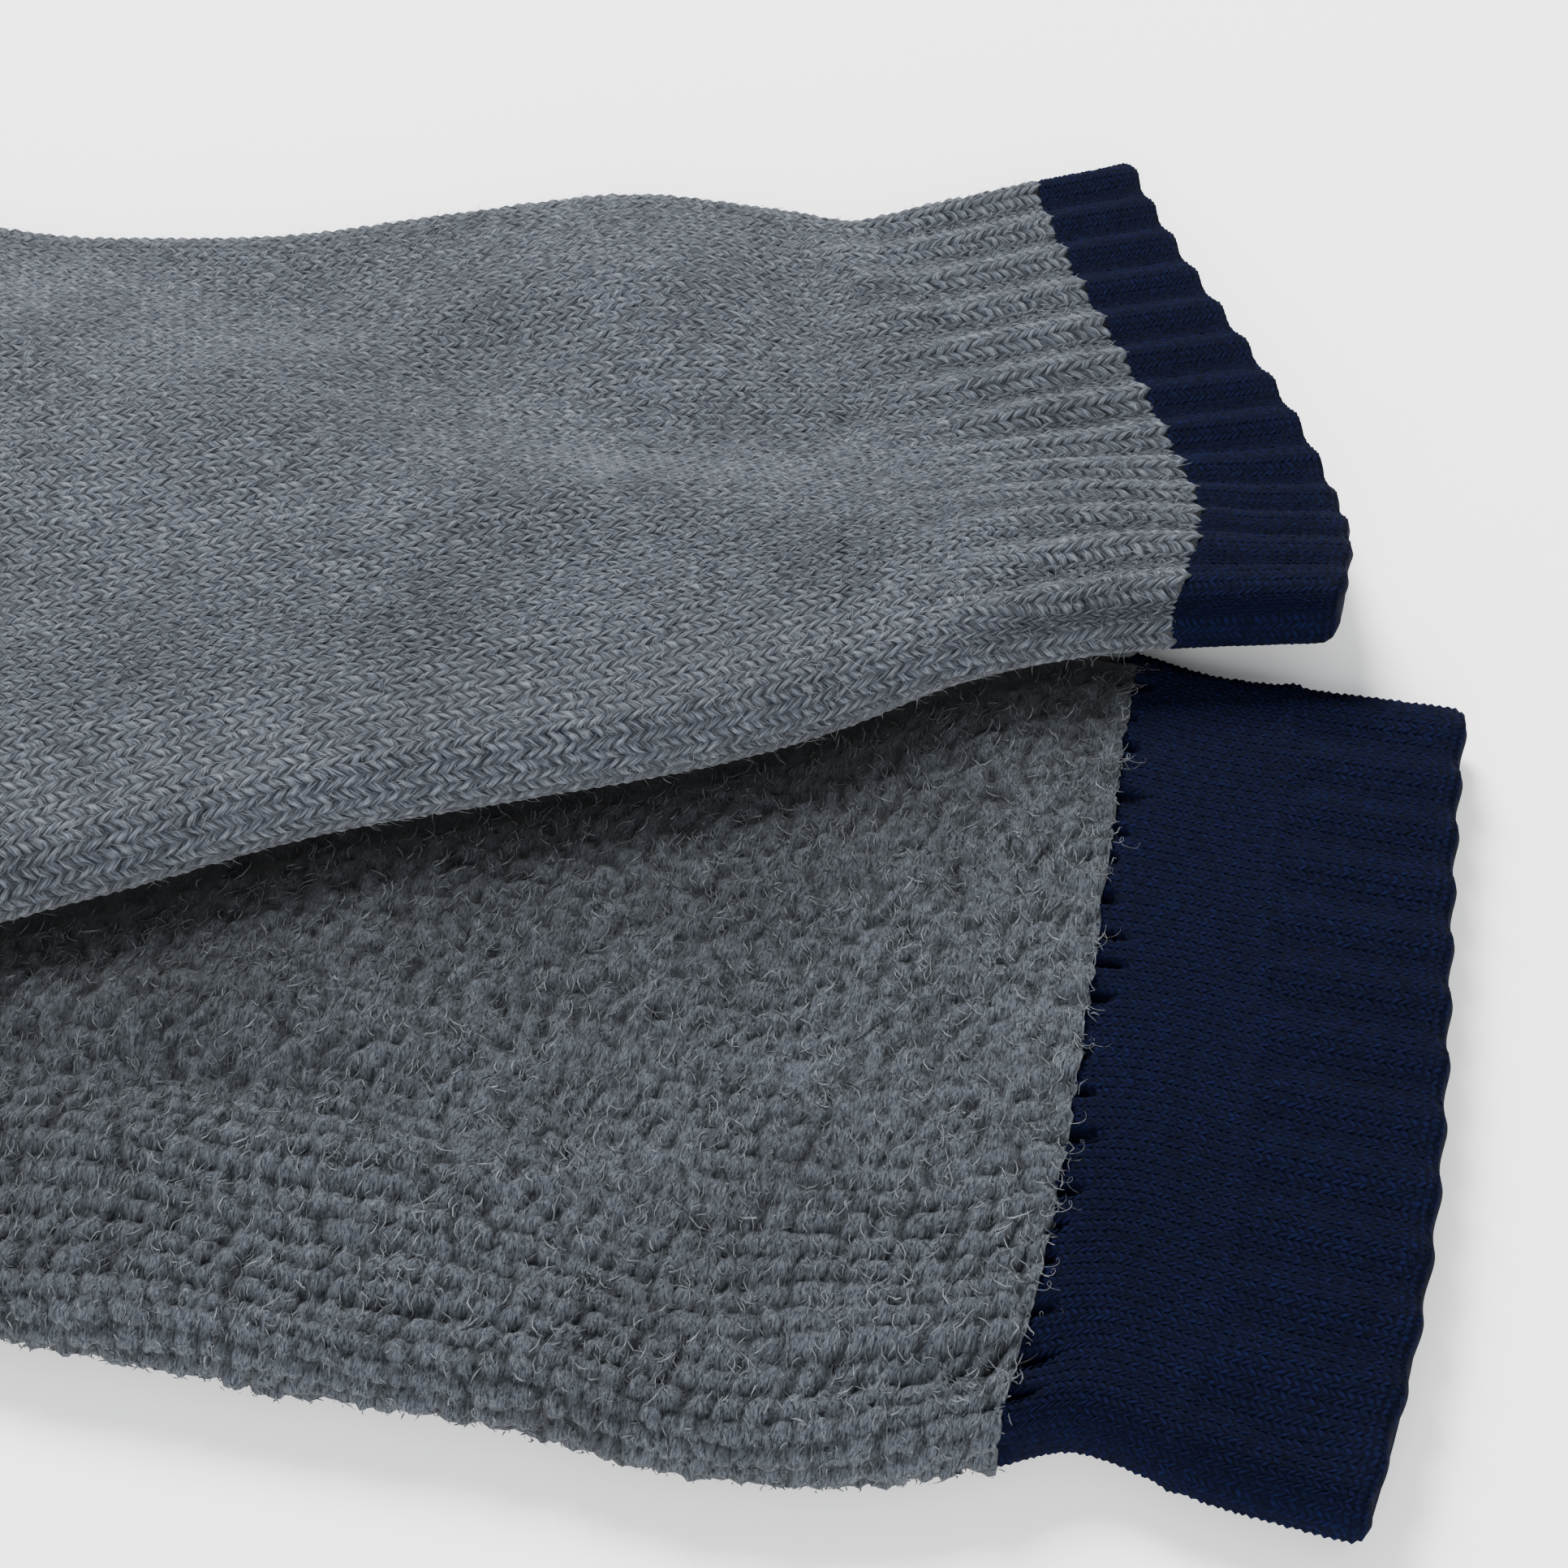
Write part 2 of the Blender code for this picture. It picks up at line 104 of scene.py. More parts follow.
# Headings in degrees; heel is -1 where the heel grows at the near edge, 1 at the far one
Turn = namedtuple("Turn", "pivot_x pivot_y leg_heading foot_heading heel")
UPPER_TURN = Turn(-113.0, 97.0, 189.0, 144.0, -1)
LOWER_TURN = Turn(-113.0, -75.0, 171.0, 216.0, 1)
TURN_FROM = 8.0         # from the leg's last row
INSTEP_RADIUS = 14.0
HEEL_RADIUS = 123.0
HEEL_SWELL = 13.0
TURN_STEPS = 4
FOOT_WIDTHS = ((30.0, 101.0), (65.0, 94.0), (110.0, 91.0), (150.0, 88.0))
TOE_WIDTH = 88.0
TOE_LENGTH = 46.0
TOE_ROUND = 2.4         # 2 would be an ellipse, more is blunter
TOE_TIP = 0.998         # the share of the toe's length that is drawn before it is closed

# %% Main folds
# The middle of a fold, the way it runs, and how long, wide and high it is; below 0 it is a dip
Fold = namedtuple("Fold", "x y heading length width rise")
UPPER_FOLDS = [Fold(*fold) for fold in (
    (-16, 72, 10, 20, 11, 1.1),
    (2, 66, 75, 22, 6, -1.3),
    (-12, 30, 15, 24, 9, 0.8),
    (-34, 52, 70, 26, 9, -0.9),
    (-62, 40, 20, 30, 12, 0.9),
    (-88, 62, 60, 22, 8, -1),
    (-122, 50, 80, 30, 7, -1.3),
    (-142, 28, 100, 28, 10, 0.9),
    (-205, 98, 145, 32, 14, 0.8),
    (-232, 118, 60, 26, 8, -0.9),
)]
LOWER_FOLDS = [Fold(*fold) for fold in (
    (6, -52, -8, 20, 9, 0.9),
    (-20, -40, -60, 22, 8, -1),
    (-48, -52, -8, 30, 4.5, 1),
    (-52, -43, -8, 32, 4, -1.1),
    (-70, -32, -10, 28, 5, 0.8),
    (-128, -46, 100, 24, 7, -1.2),
    (-205, -72, 35, 34, 14, 0.9),
    (-238, -88, 120, 26, 8, -1),
)]

# Creases that only the outer face shows, most of them small
UPPER_CREASES = [Fold(*fold) for fold in (
    (7, 45, 80, 5, 1.6, -1),
    (3, 60, 108, 18, 4, -0.7),
    (9, 30, 62, 14, 3.5, -0.5),
    (-4, 52, 85, 22, 7, 0.6),
    (-30, 20, 12, 26, 5, 0.4),
    (-70, 10, 25, 22, 5, -0.4),
    (-11, 38, 5, 24, 9, -1.9),
    (-14, 66, 5, 20, 9, 1.4),
    (-78, 42, 5, 24, 11, -1.6),
    (-43, 55, 38, 20, 6, 1.4),
    (7.5, 70, 115, 12, 3.5, 1.6),
    (14.5, 21, -85, 10, 2.2, -0.7),
)]
LOWER_CREASES = [Fold(*fold) for fold in (
    (41, -78.6, -27, 8, 2, -1.7),
    (52, -83.5, -60, 6, 3, 0.8),
    (13, -72.5, 10, 11, 2.6, -1.7),
    (13.5, -68, 12, 12, 3, 0.9),
    (-33, -56, -6, 30, 1.8, -0.8),
    (-30, -61.5, -8, 34, 1.6, -0.7),
    (-38, -66.5, -8, 26, 1.6, -0.7),
    (-21, -42, -70, 9, 1.6, -0.7),
)]
print("folds on the upper and lower sock:", len(UPPER_FOLDS), len(LOWER_FOLDS))
print("creases:", len(UPPER_CREASES), len(LOWER_CREASES))

# %% [markdown]
# ## From rows to a surface
# The heel turns the foot away from the leg, so its rows fan round the instep. The foot narrows,
# and the toe is drawn in along a blunt curve. All of it is worked out for whole arrays of places
# at once, because a section has some ten thousand stitches.


# %% Rows of the heel, foot and toe
def ease(value):
    """Zero below 0, one above 1, and an easy rise between."""
    value = np.clip(value, 0.0, 1.0)
    return value * value * (3.0 - 2.0 * value)


def nothing(place, *_):
    """Zero at every place: no relief, no ribs, or nothing to lie on."""
    return np.zeros(np.shape(place))


def full(place, *_):
    """One at every place: no shade, or nothing that lies on top."""
    return np.ones(np.shape(place))


def step_towards(degrees):
    """A unit step in the plane, counted round from +X."""
    return math.cos(math.radians(degrees)), math.sin(math.radians(degrees))


def turn_rows(start_at, turn):
    """Rows that fan round the instep, so that the heel side grows into a heel."""
    rows = []
    at = start_at
    sweep = turn.foot_heading - turn.leg_heading
    arc = 0.5 * (INSTEP_RADIUS + HEEL_RADIUS) * math.radians(abs(sweep)) / TURN_STEPS
    for step in range(1, TURN_STEPS + 1):
        part = step / TURN_STEPS
        ahead_x, ahead_y = step_towards(turn.leg_heading + sweep * part)
        out_x, out_y = turn.heel * ahead_y, -turn.heel * ahead_x
        swell = HEEL_RADIUS + HEEL_SWELL * math.sin(math.pi * part)
        instep = (turn.pivot_x + INSTEP_RADIUS * out_x, turn.pivot_y + INSTEP_RADIUS * out_y)
        heel = (turn.pivot_x + swell * out_x, turn.pivot_y + swell * out_y)
        at += arc
        far, near = (instep, heel) if turn.heel < 0 else (heel, instep)
        rows.append(Row(at, *far, *near, 0.0))
    return rows


def foot_rows(last, turn):
    """Rows along the foot, narrowing from the heel to where the toe begins."""
    ahead_x, ahead_y = step_towards(turn.foot_heading)
    side = -turn.heel
    instep = (last.far_x, last.far_y) if turn.heel < 0 else (last.near_x, last.near_y)
    rows = []
    for on, width in FOOT_WIDTHS:
        a = (instep[0] + ahead_x * on, instep[1] + ahead_y * on)
        b = (a[0] - side * ahead_y * width, a[1] + side * ahead_x * width)
        far, near = (a, b) if turn.heel < 0 else (b, a)
        rows.append(Row(last.at + on, *far, *near, 0.0))
    return rows


def all_rows(leg_rows, turn):
    """Every row of one sock, from the mouth to where the toe begins, as an array."""
    rows = list(leg_rows) + turn_rows(leg_rows[-1].at + TURN_FROM, turn)
    rows += foot_rows(rows[-1], turn)
    return np.array(rows)


def edges_at(rows, at):
    """The far edge, the near edge and the bow at any distances from the mouth."""
    at = np.asarray(at, float)
    low = np.clip(np.searchsorted(rows[:, 0], at) - 1, 0, len(rows) - 2)
    here, there = rows[low], rows[low + 1]
    before, after = rows[np.maximum(low - 1, 0)], rows[np.minimum(low + 2, len(rows) - 1)]
    span = (there - here)[..., :1]
    u = (at[..., None] - here[..., :1]) / span
    slope_here = (there - before) / (there - before)[..., :1] * span
    slope_there = (after - here) / (after - here)[..., :1] * span
    read = (2 * u ** 3 - 3 * u ** 2 + 1) * here + (u ** 3 - 2 * u ** 2 + u) * slope_here
    read += (3 * u ** 2 - 2 * u ** 3) * there + (u ** 3 - u ** 2) * slope_there
    toe = rows[-1]
    on = np.clip((at - toe[0]) / TOE_LENGTH, 0.0, 1.0)
    narrow = (1.0 - on ** TOE_ROUND) ** (1.0 / TOE_ROUND)
    across = toe[3:5] - toe[1:3]
    ahead = np.array([across[1], -across[0]]) / np.hypot(*across)
    middle = 0.5 * (toe[1:3] + toe[3:5]) + (at - toe[0])[..., None] * ahead
    half = 0.5 * across * narrow[..., None]
    in_toe = (at > toe[0])[..., None]
    far = np.where(in_toe, middle - half, read[..., 1:3])
    near = np.where(in_toe, middle + half, read[..., 3:5])
    return far, near, np.where(at > toe[0], 0.0, read[..., 5])


def outline(rows):
    """The flat sock's outline seen from above, once round."""
    body = np.arange(rows[0, 0], rows[-1, 0], 6.0)
    toe = rows[-1, 0] + TOE_LENGTH * np.sin(np.linspace(0.0, math.asin(0.99), 9))
    far, near, _ = edges_at(rows, np.concatenate([body, toe]))
    return np.concatenate([far, near[::-1]])


def distance_outside(x, y, edge):
    """How far points lie outside an outline; inside it the distance is below zero."""
    nearest = np.full(np.shape(x), 1e9)
    inside = np.zeros(np.shape(x), bool)
    for (ax, ay), (bx, by) in zip(edge, np.roll(edge, -1, axis=0)):
        dx, dy = bx - ax, by - ay
        along = np.clip(((x - ax) * dx + (y - ay) * dy) / (dx * dx + dy * dy), 0.0, 1.0)
        nearest = np.minimum(nearest, np.hypot(ax + dx * along - x, ay + dy * along - y))
        if dy:
            inside ^= ((ay > y) != (by > y)) & (x < ax + dx * (y - ay) / dy)
    return np.where(inside, -nearest, nearest)


UPPER_ALL = all_rows(UPPER_ROWS, UPPER_TURN)
LOWER_ALL = all_rows(LOWER_ROWS, LOWER_TURN)
UPPER_OUTLINE = outline(UPPER_ALL)
LOWER_OUTLINE = outline(LOWER_ALL)
print(f"length of a sock, mouth to toe: {UPPER_ALL[-1, 0] + TOE_LENGTH:.0f} mm")


# %% What each sock lies on, and how free it is to stand proud
CONTACT = 0.3           # between the two socks
SHOULDER = 1.5          # beyond the lower sock's edge, from where the upper one comes down
FALL = 30.0             # on which it comes down
BARE_MARGIN = 14.0      # beside the upper sock, where the lower one is still held down


def rest_upper(x, y):
    """The upper sock lies on the lower one and comes down to the surface beside it."""
    beyond = np.maximum(0.0, distance_outside(x, y, LOWER_OUTLINE) - SHOULDER)
    return (2.0 * LEG_HALF + CONTACT) * (1.0 - ease(beyond / FALL))


def bare_lower(x, y):
    """How free the lower sock is of the one on top."""
    return ease(distance_outside(x, y, UPPER_OUTLINE) / BARE_MARGIN)


Sock = namedtuple("Sock", "rows folds creases rest bare")
UPPER = Sock(UPPER_ALL, UPPER_FOLDS, UPPER_CREASES, rest_upper, full)
LOWER = Sock(LOWER_ALL, LOWER_FOLDS, LOWER_CREASES, nothing, bare_lower)


# %% The stadium section
def half_height(at):
    """Half the height of the flat sock at its edges."""
    return CUFF_HALF + (LEG_HALF - CUFF_HALF) * ease(at / CUFF_FULL_AT)


def wall_at(at):
    """The thickness of the cloth."""
    return CUFF_WALL + (LEG_WALL - CUFF_WALL) * ease(at / CUFF_FULL_AT)


def flat_section(turns, half_width, half):
    """Places on a flat tube: how far across, and the way out, across and up.

    turns runs from 0 at the far edge over the top to a half at the near edge, and back below.
    """
    straight = 2.0 * (half_width - half)
    quarter = 0.5 * np.pi * half
    along = (turns % 1.0) * (2.0 * straight + 4.0 * quarter)
    near_turn = quarter + straight
    below = near_turn + 2.0 * quarter
    stretch = [along < quarter, along < near_turn, along < below, along < below + straight]
    angle = np.select(
        stretch,
        [along / half, 0.5 * np.pi, 0.5 * np.pi + (along - near_turn) / half, 1.5 * np.pi],
        1.5 * np.pi + (along - below - straight) / half,
    )
    place = np.select(
        stretch,
        [half, half + along - quarter, half + straight, half + straight - (along - below)],
        half,
    )
    return place, -np.cos(angle), np.sin(angle)


def fold_height(folds, x, y):
    """The sum of the folds at each place."""
    height = np.zeros(np.shape(x))
    for fold in folds:
        ahead_x, ahead_y = step_towards(fold.heading)
        along = ((x - fold.x) * ahead_x + (y - fold.y) * ahead_y) / fold.length
        aside = ((y - fold.y) * ahead_x - (x - fold.x) * ahead_y) / fold.width
        height += fold.rise * np.exp(-along * along - aside * aside)
    return height


# %% The cloth's own points
RIBS = 28               # round the cuff
GROOVE = 0.8            # the depth of a groove, for a rib that is one high
CROWN = 0.9             # how far the middle of the flat sock stands above its edges
DEEPEST = 0.7           # the most that a fold goes below them
BOW_SKEW = 1.8          # over 1, the bow of the mouth lies nearer to the near edge
EDGE_LOW = 0.95         # how far down the round edge the relief reaches, 1 being all of it
EDGE_FADE = 0.6


def rib_wave(turns):
    """The cross-section of the ribs: a full round rib and a shallower groove."""
    wave = np.cos(2.0 * np.pi * RIBS * turns)
    return np.where(wave > 0.0, wave, wave * GROOVE)


def end_of(sock):
    """How far from the mouth the toe is closed."""
    return sock.rows[-1, 0] + TOE_LENGTH * TOE_TIP


def cloth(sock, at, turns, depth=0.0, relief=0.0, scallop=0.0, outer=True):
    """Points of the cloth in metres: depth mm in from the outer face, relief mm out from it."""
    at = np.clip(at, 0.0, end_of(sock))
    far, near, bow = edges_at(sock.rows, at)
    across = near - far
    width = np.hypot(across[..., 0], across[..., 1])
    to_tip = np.clip((sock.rows[-1, 0] + TOE_LENGTH - at) / LEG_HALF, 0.0, 1.0)
    middle = half_height(at)
    half = middle * np.sqrt(1.0 - (1.0 - to_tip) ** 2)
    place, out_across, out_up = flat_section(turns, 0.5 * width, half)
    # Relief dies out towards the flat underside and towards the tip
    showing = ease((out_up + EDGE_LOW) / EDGE_FADE) * ease(to_tip)
    radius = half - depth + relief * showing
    share = (place + radius * out_across) / width
    inner = np.clip(share, 0.0, 1.0)
    ahead = bow * np.sin(np.pi * inner ** BOW_SKEW) + scallop * showing
    x = far[..., 0] + across[..., 0] * share - across[..., 1] / width * ahead
    y = far[..., 1] + across[..., 1] * share + across[..., 0] / width * ahead
    crown = CROWN * np.sin(np.pi * inner) ** 0.8
    bare = sock.bare(x, y)
    proud = np.maximum(-DEEPEST, (crown + fold_height(sock.folds, x, y)) * bare)
    if outer:
        proud = proud + fold_height(sock.creases, x, y) * bare
    proud = proud * ease(0.5 + 0.5 * out_up) * np.minimum(1.0, width / TOE_WIDTH)
    z = middle + radius * out_up + proud + sock.rest(x, y)
    return np.stack([x - CENTRE_X, y - CENTRE_Y, z], axis=-1) * MM


# %% [markdown]
# ## A knitted tube as a mesh
# The upper side and the round edges carry the stitches, so they get a fine grid. The underside
# rests flat and the inside is hardly seen, so both are coarser. The grid's columns follow the
# knitting: a column of stitches is a wale, a row of them is a course.

# %% How a tube is divided, and how a piece is placed
SECTORS = 56            # the rim is closed in this many faces, two grey wales each
FINE_SECTORS = 32       # those that carry the fine grid, over the top and both edges
FIRST_TURN = -2 / SECTORS
COARSE_PER_SECTOR = 2
HIDDEN_RISE = 0.6       # of a strand's height: what the underside and the inside are shaded by
GIRTH = 220.0           # round the tube, by which turns are told as lengths

Patch = namedtuple("Patch", "points at turns rise")


def write_attribute(mesh, name, kind, domain, values):
    """Store a value for each point or corner of a mesh, for its material to read."""
    attribute = mesh.attributes.new(name, kind, domain)
    key = "value" if kind == "FLOAT" else "vector"
    attribute.data.foreach_set(key, np.asarray(values, np.float32).ravel())


def put_in_scene(mesh, finish):
    """Make a piece of a mesh, smooth and in its finish."""
    mesh.shade_smooth()
    mesh.materials.append(finish)
    piece = bpy.data.objects.new(mesh.name, mesh)
    bpy.context.scene.collection.objects.link(piece)
    return piece


def stand_for(piece, node):
    """Let a piece take the place of its solid."""
    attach(piece, "root")
    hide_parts(node)


def flat_place(at, turns):
    """Where points lie on the cloth, in mm: along the sock and round it."""
    round_about = np.ravel(turns) * GIRTH
    return np.stack([np.ravel(at), round_about, np.zeros(at.size)], axis=-1)


# %% Closing a tube at its ends
def rim_faces(fine, below, within, per_sector, lip, toe):
    """Faces between the outer and the inner cloth at both ends, and which of them are sharp."""
    faces, sharp = [], []
    for end in (0, -1):
        if toe and end:
            faces.append(fine[end].tolist() + below[end].tolist())
            faces.append(within[end].tolist())
            continue
        whole = [fine[end, -1], *below[end], fine[end, 0]]
        for sector in range(SECTORS):
            if sector < FINE_SECTORS:
                edge = fine[end, sector * per_sector:(sector + 1) * per_sector + 1].tolist()
            else:
                start = (sector - FINE_SECTORS) * COARSE_PER_SECTOR
                edge = [int(point) for point in whole[start:start + COARSE_PER_SECTOR + 1]]
            corner = [int(within[end, (sector + 1) % SECTORS]), int(within[end, sector])]
            if end or not lip:
                sharp.append(len(faces))
            faces.append(edge + corner)
    return faces, sharp


# %% The folded lip at the mouth
LIP = 0.5 * CUFF_WALL
INNER_PITCH = 5.0       # between the rings of the inner face
INNER_TOE = LEG_WALL + 1.0      # how far short of the tip the inside of a toe ends


def patch_depth(at, lip):
    """How far the outer face turns in towards the mouth, where the welt is folded round."""
    if not lip:
        return np.zeros(np.shape(at))
    over = np.clip((LIP - at) / LIP, 0.0, 1.0)
    return LIP * (1.0 - np.sqrt(1.0 - over ** 2))


def lining_rows(start, end, lip):
    """Where the inner face's rings lie, and how deep."""
    rings = np.linspace(start, end, max(2, round((end - start) / INNER_PITCH)) + 1)
    if lip:
        rings = np.concatenate([[0.15 * LIP, 0.5 * LIP, LIP], rings[1:]])
    return rings, wall_at(rings) - patch_depth(rings, lip)


# %% Knitting one tube
def knit_tube(name, sock, patch, yarn, skip, start, end, finish):
    """A tube of cloth from its fine upper patch, closed below, inside and at both ends."""
    lip, toe = start == 0.0, end == end_of(sock)
    inner_at, inner_depth = lining_rows(start, end - INNER_TOE if toe else end, lip)
    rows, columns = patch.at.shape
    per_sector = (columns - 1) // FINE_SECTORS
    coarse = (SECTORS - FINE_SECTORS) * COARSE_PER_SECTOR
    coarse_turns = patch.turns[0, -1] + np.arange(1, coarse) / (SECTORS * COARSE_PER_SECTOR)
    coarse_rows = np.arange(0, rows, skip)
    under_at, under_turns = np.meshgrid(patch.at[coarse_rows, -1], coarse_turns, indexing="ij")
    under = cloth(sock, under_at, under_turns, depth=patch_depth(under_at, lip))
    inner_turns = FIRST_TURN + np.arange(SECTORS) / SECTORS
    in_at, in_turns = np.meshgrid(inner_at, inner_turns, indexing="ij")
    in_depth = np.broadcast_to(inner_depth[:, None], in_at.shape)
    inside = cloth(sock, in_at, in_turns, depth=in_depth, outer=False)

    fine = np.arange(rows * columns).reshape(rows, columns)
    below = rows * columns + np.arange(under.shape[0] * under.shape[1]).reshape(under.shape[:2])
    within = below.size + fine.size + np.arange(in_at.size).reshape(in_at.shape)
    points = np.concatenate([g.reshape(-1, 3) for g in (patch.points, under, inside)])

    quads = np.stack([fine[:-1, :-1], fine[:-1, 1:], fine[1:, 1:], fine[1:, :-1]], axis=-1)
    faces = quads.reshape(-1, 4).tolist()
    fine_faces = len(faces)
    strip = np.stack([below[:-1, :-1], below[:-1, 1:], below[1:, 1:], below[1:, :-1]], axis=-1)
    faces += strip.reshape(-1, 4).tolist()
    for k, (low, high) in enumerate(zip(coarse_rows, coarse_rows[1:])):
        near_edge = fine[low:high + 1, -1].tolist()
        far_edge = fine[low:high + 1, 0].tolist()
        faces.append(near_edge[::-1] + [int(below[k, 0]), int(below[k + 1, 0])])
        faces.append(far_edge + [int(below[k + 1, -1]), int(below[k, -1])])
    around = np.roll(within, -1, axis=1)
    lining = np.stack([within[:-1], within[1:], around[1:], around[:-1]], axis=-1)
    faces += lining.reshape(-1, 4).tolist()
    rims, sharp = rim_faces(fine, below, within, per_sector, lip, toe)
    first_rim = len(faces)
    faces += rims

    mesh = bpy.data.meshes.new(name)
    mesh.from_pydata(points.tolist(), [], faces)
    mesh.update()
    for index in sharp:
        for loop in mesh.polygons[first_rim + index].loop_indices:
            mesh.edges[mesh.loops[loop].edge_index].use_edge_sharp = True
    corner_points = np.zeros(len(mesh.loops), np.int64)
    mesh.loops.foreach_get("vertex_index", corner_points)
    laid = np.concatenate([
        flat_place(patch.at, patch.turns), flat_place(under_at, under_turns),
        flat_place(in_at, in_turns)])
    threads = laid[corner_points]
    threads[:fine_faces * 4] = yarn.reshape(-1, 3)
    # The rise attribute drives the painted shade; the underside and the inside get one even value
    rise = np.full(len(points), HIDDEN_RISE)
    rise[:fine.size] = patch.rise.ravel()
    write_attribute(mesh, "yarn", "FLOAT_VECTOR", "CORNER", threads)
    write_attribute(mesh, "rise", "FLOAT", "POINT", rise)

    bm = bmesh.new()
    bm.from_mesh(mesh)
    bmesh.ops.recalc_face_normals(bm, faces=bm.faces[:])
    bm.to_mesh(mesh)
    bm.free()
    triangles = sum(len(face) - 2 for face in faces)
    print(f"{name}: {triangles} triangles")
    return put_in_scene(mesh, finish)


# %% [markdown]
# ## Plain knit and ribs
# In plain knit each stitch shows as a V, two short strands that lean together. The V's nest in one
# another and make a column. Here a strand is a small ridge: the rows of the grid lean with it,
# and the ridge sinks at both ends, where the real strand dips under its neighbour.

# %% Stitch sizes
Knit = namedtuple("Knit", "wales course lean rise across along")
WOOL = Knit(wales=112, course=1.3, lean=0.95, rise=0.45, across=4, along=4)
WOOL_FOOT = WOOL._replace(across=2, along=2)
FINE_NAVY = Knit(wales=168, course=0.74, lean=1.0, rise=0.32, across=4, along=2)
PURL_SHARE = 0.16       # of a rib's width, for each of its two wales that lie in the groove
STRAND_TABLE = np.random.default_rng(28).random((420, 2 * 168, 4))
LOOSE = 0.15            # of a course, by which a strand strays
OWN_REACH = 40.0        # how far apart the strands read their streaks, so that no two match
SWAY_TABLE = np.random.default_rng(7).normal(size=(6, 3))
SWAY = 0.18
EDGE_SPREAD = 0.022     # turns by which the wales above the near edge move up
SPREAD_FROM = 0.44      # turns
SPREAD_WIDTH = 0.06
NEAR_EDGE = 0.5         # turns, the far edge being 0
SPREAD_END = 0.03       # past the near edge
CALM_LENGTH = 4.0       # from the folded lip and from the toe's tip, where stitches lie straight
MOUTH_SCALLOP = 0.2     # how far the ribs stand out beyond the mouth's line
SCALLOP_FADE = 6.0


def sway(at, turns):
    """A slow wander of the wales, in mm, so that no column is quite straight."""
    wander = np.zeros(np.shape(at))
    for wave, (size, first, second) in enumerate(SWAY_TABLE):
        phase = at / (11.0 + 6.0 * wave) + 2.0 * np.pi * turns * (2 + wave)
        wander += np.sin(phase + first + second) * size
    return SWAY * wander


def edge_spread(turns):
    """Wales stand wider where the leg bends over its near edge, and closer just above it."""
    shift = EDGE_SPREAD * np.exp(-((turns - SPREAD_FROM) / SPREAD_WIDTH) ** 2)
    return -shift * (1.0 - ease((turns - NEAR_EDGE) / SPREAD_END))


# %% Stitches of one section
def wale_turns(wale, wales, ribbed):
    """The place round the tube of each wale edge; ribs draw two wales of four into the groove."""
    rib = wale / wales * RIBS
    whole = np.floor(rib + 0.5)
    part = (rib - whole) * 2.0
    crest = 1.0 - 2.0 * PURL_SHARE
    drawn = np.where(
        np.abs(part) < 0.5,
        part * 2.0 * crest,
        np.sign(part) * (crest + (np.abs(part) - 0.5) * 2.0 * (1.0 - crest)),
    )
    return (whole + 0.5 * (part + (drawn - part) * ribbed)) / RIBS


def knit_patch(sock, knit, start, end, first_course, relief, ribbed, shade):
    """The stitches of one section: its points, and the yarn coordinates of each face corner."""
    lip = start == 0.0
    courses = round((end - start) / knit.course)
    pitch = (end - start) / courses
    wales = knit.wales * FINE_SECTORS // SECTORS
    first_wale = round(FIRST_TURN * knit.wales)
    row = np.arange(courses * knit.along + 1) / knit.along
    wale = first_wale + np.arange(wales * knit.across + 1) / knit.across
    row_grid, wale_grid = np.meshgrid(row, wale, indexing="ij")
    inward = 1.0 - 2.0 * np.abs(wale_grid % 1.0 - 0.5)
    lean = knit.lean * pitch * (inward - 0.5)
    if lip:
        lean = lean * ease(row_grid * pitch / CALM_LENGTH)
    to_tip = end_of(sock) - start - row_grid * pitch
    at = start + row_grid * pitch + lean * ease(to_tip / CALM_LENGTH)

    # Each strand has its own stray, height and streaks, all read from one table
    strand_row = np.minimum(row_grid.astype(int), courses - 1) + first_course
    strand_column = np.floor(wale_grid * 2.0).astype(int) % STRAND_TABLE.shape[1]
    chance = STRAND_TABLE[strand_row, strand_column]
    loose = LOOSE * knit.course
    edge = (row_grid == 0) | (row_grid == courses)
    at = at + np.where(edge, 0.0, loose * (chance[..., 0] * 2.0 - 1.0))
    at = np.maximum(at, 0.0) if lip else at
    turns = wale_turns(wale_grid, knit.wales, ribbed(at))
    if sock is UPPER:
        turns = turns + edge_spread(turns) * (1.0 - ribbed(at))
    turns = turns + (sway(at, turns) + loose * (chance[..., 1] - 0.5)) / GIRTH

    # A strand is a ridge over the rows of its course, and lower at its two ends
    ridge = np.sin(np.pi * (row_grid % 1.0)) ** 0.7
    ends = np.full(inward.shape, 0.75)
    if knit.across == 4:
        ends = np.where(np.isclose(inward % 1.0, 0.0), 0.3, 1.0)
    rise = ridge * ends * (0.7 + 0.45 * chance[..., 2])
    out = relief(at, turns) + knit.rise * (rise - 0.5)
    mouth = rib_wave(turns) * MOUTH_SCALLOP * (1.0 - ease(at / SCALLOP_FADE))
    points = cloth(sock, at, turns, patch_depth(at, lip), out, mouth)

    # The yarn coordinates: mm along the strand, mm over it, and the strand's own place
    strand_length = math.hypot(0.5 * GIRTH / knit.wales, knit.lean * pitch)
    along = face_corners(inward) * strand_length
    level = (row_grid % 1.0)[:-1, :-1]
    below = level + 1.0 / knit.along
    over = np.stack([level, level, below, below], -1) * pitch * 0.55
    own = STRAND_TABLE[strand_row[:-1, :-1], strand_column[:-1, :-1], 3]
    own = np.repeat(own[..., None], 4, axis=-1) * OWN_REACH
    yarn = np.stack([along, over, own], axis=-1)
    # The strand's height, times the section's shade, becomes the painted shade of its gaps
    return Patch(points, at, turns, rise * shade(at, turns)), yarn, courses


def face_corners(grid):
    """The value of a grid at the four corners of each of its faces."""
    return np.stack([grid[:-1, :-1], grid[:-1, 1:], grid[1:, 1:], grid[1:, :-1]], axis=2)


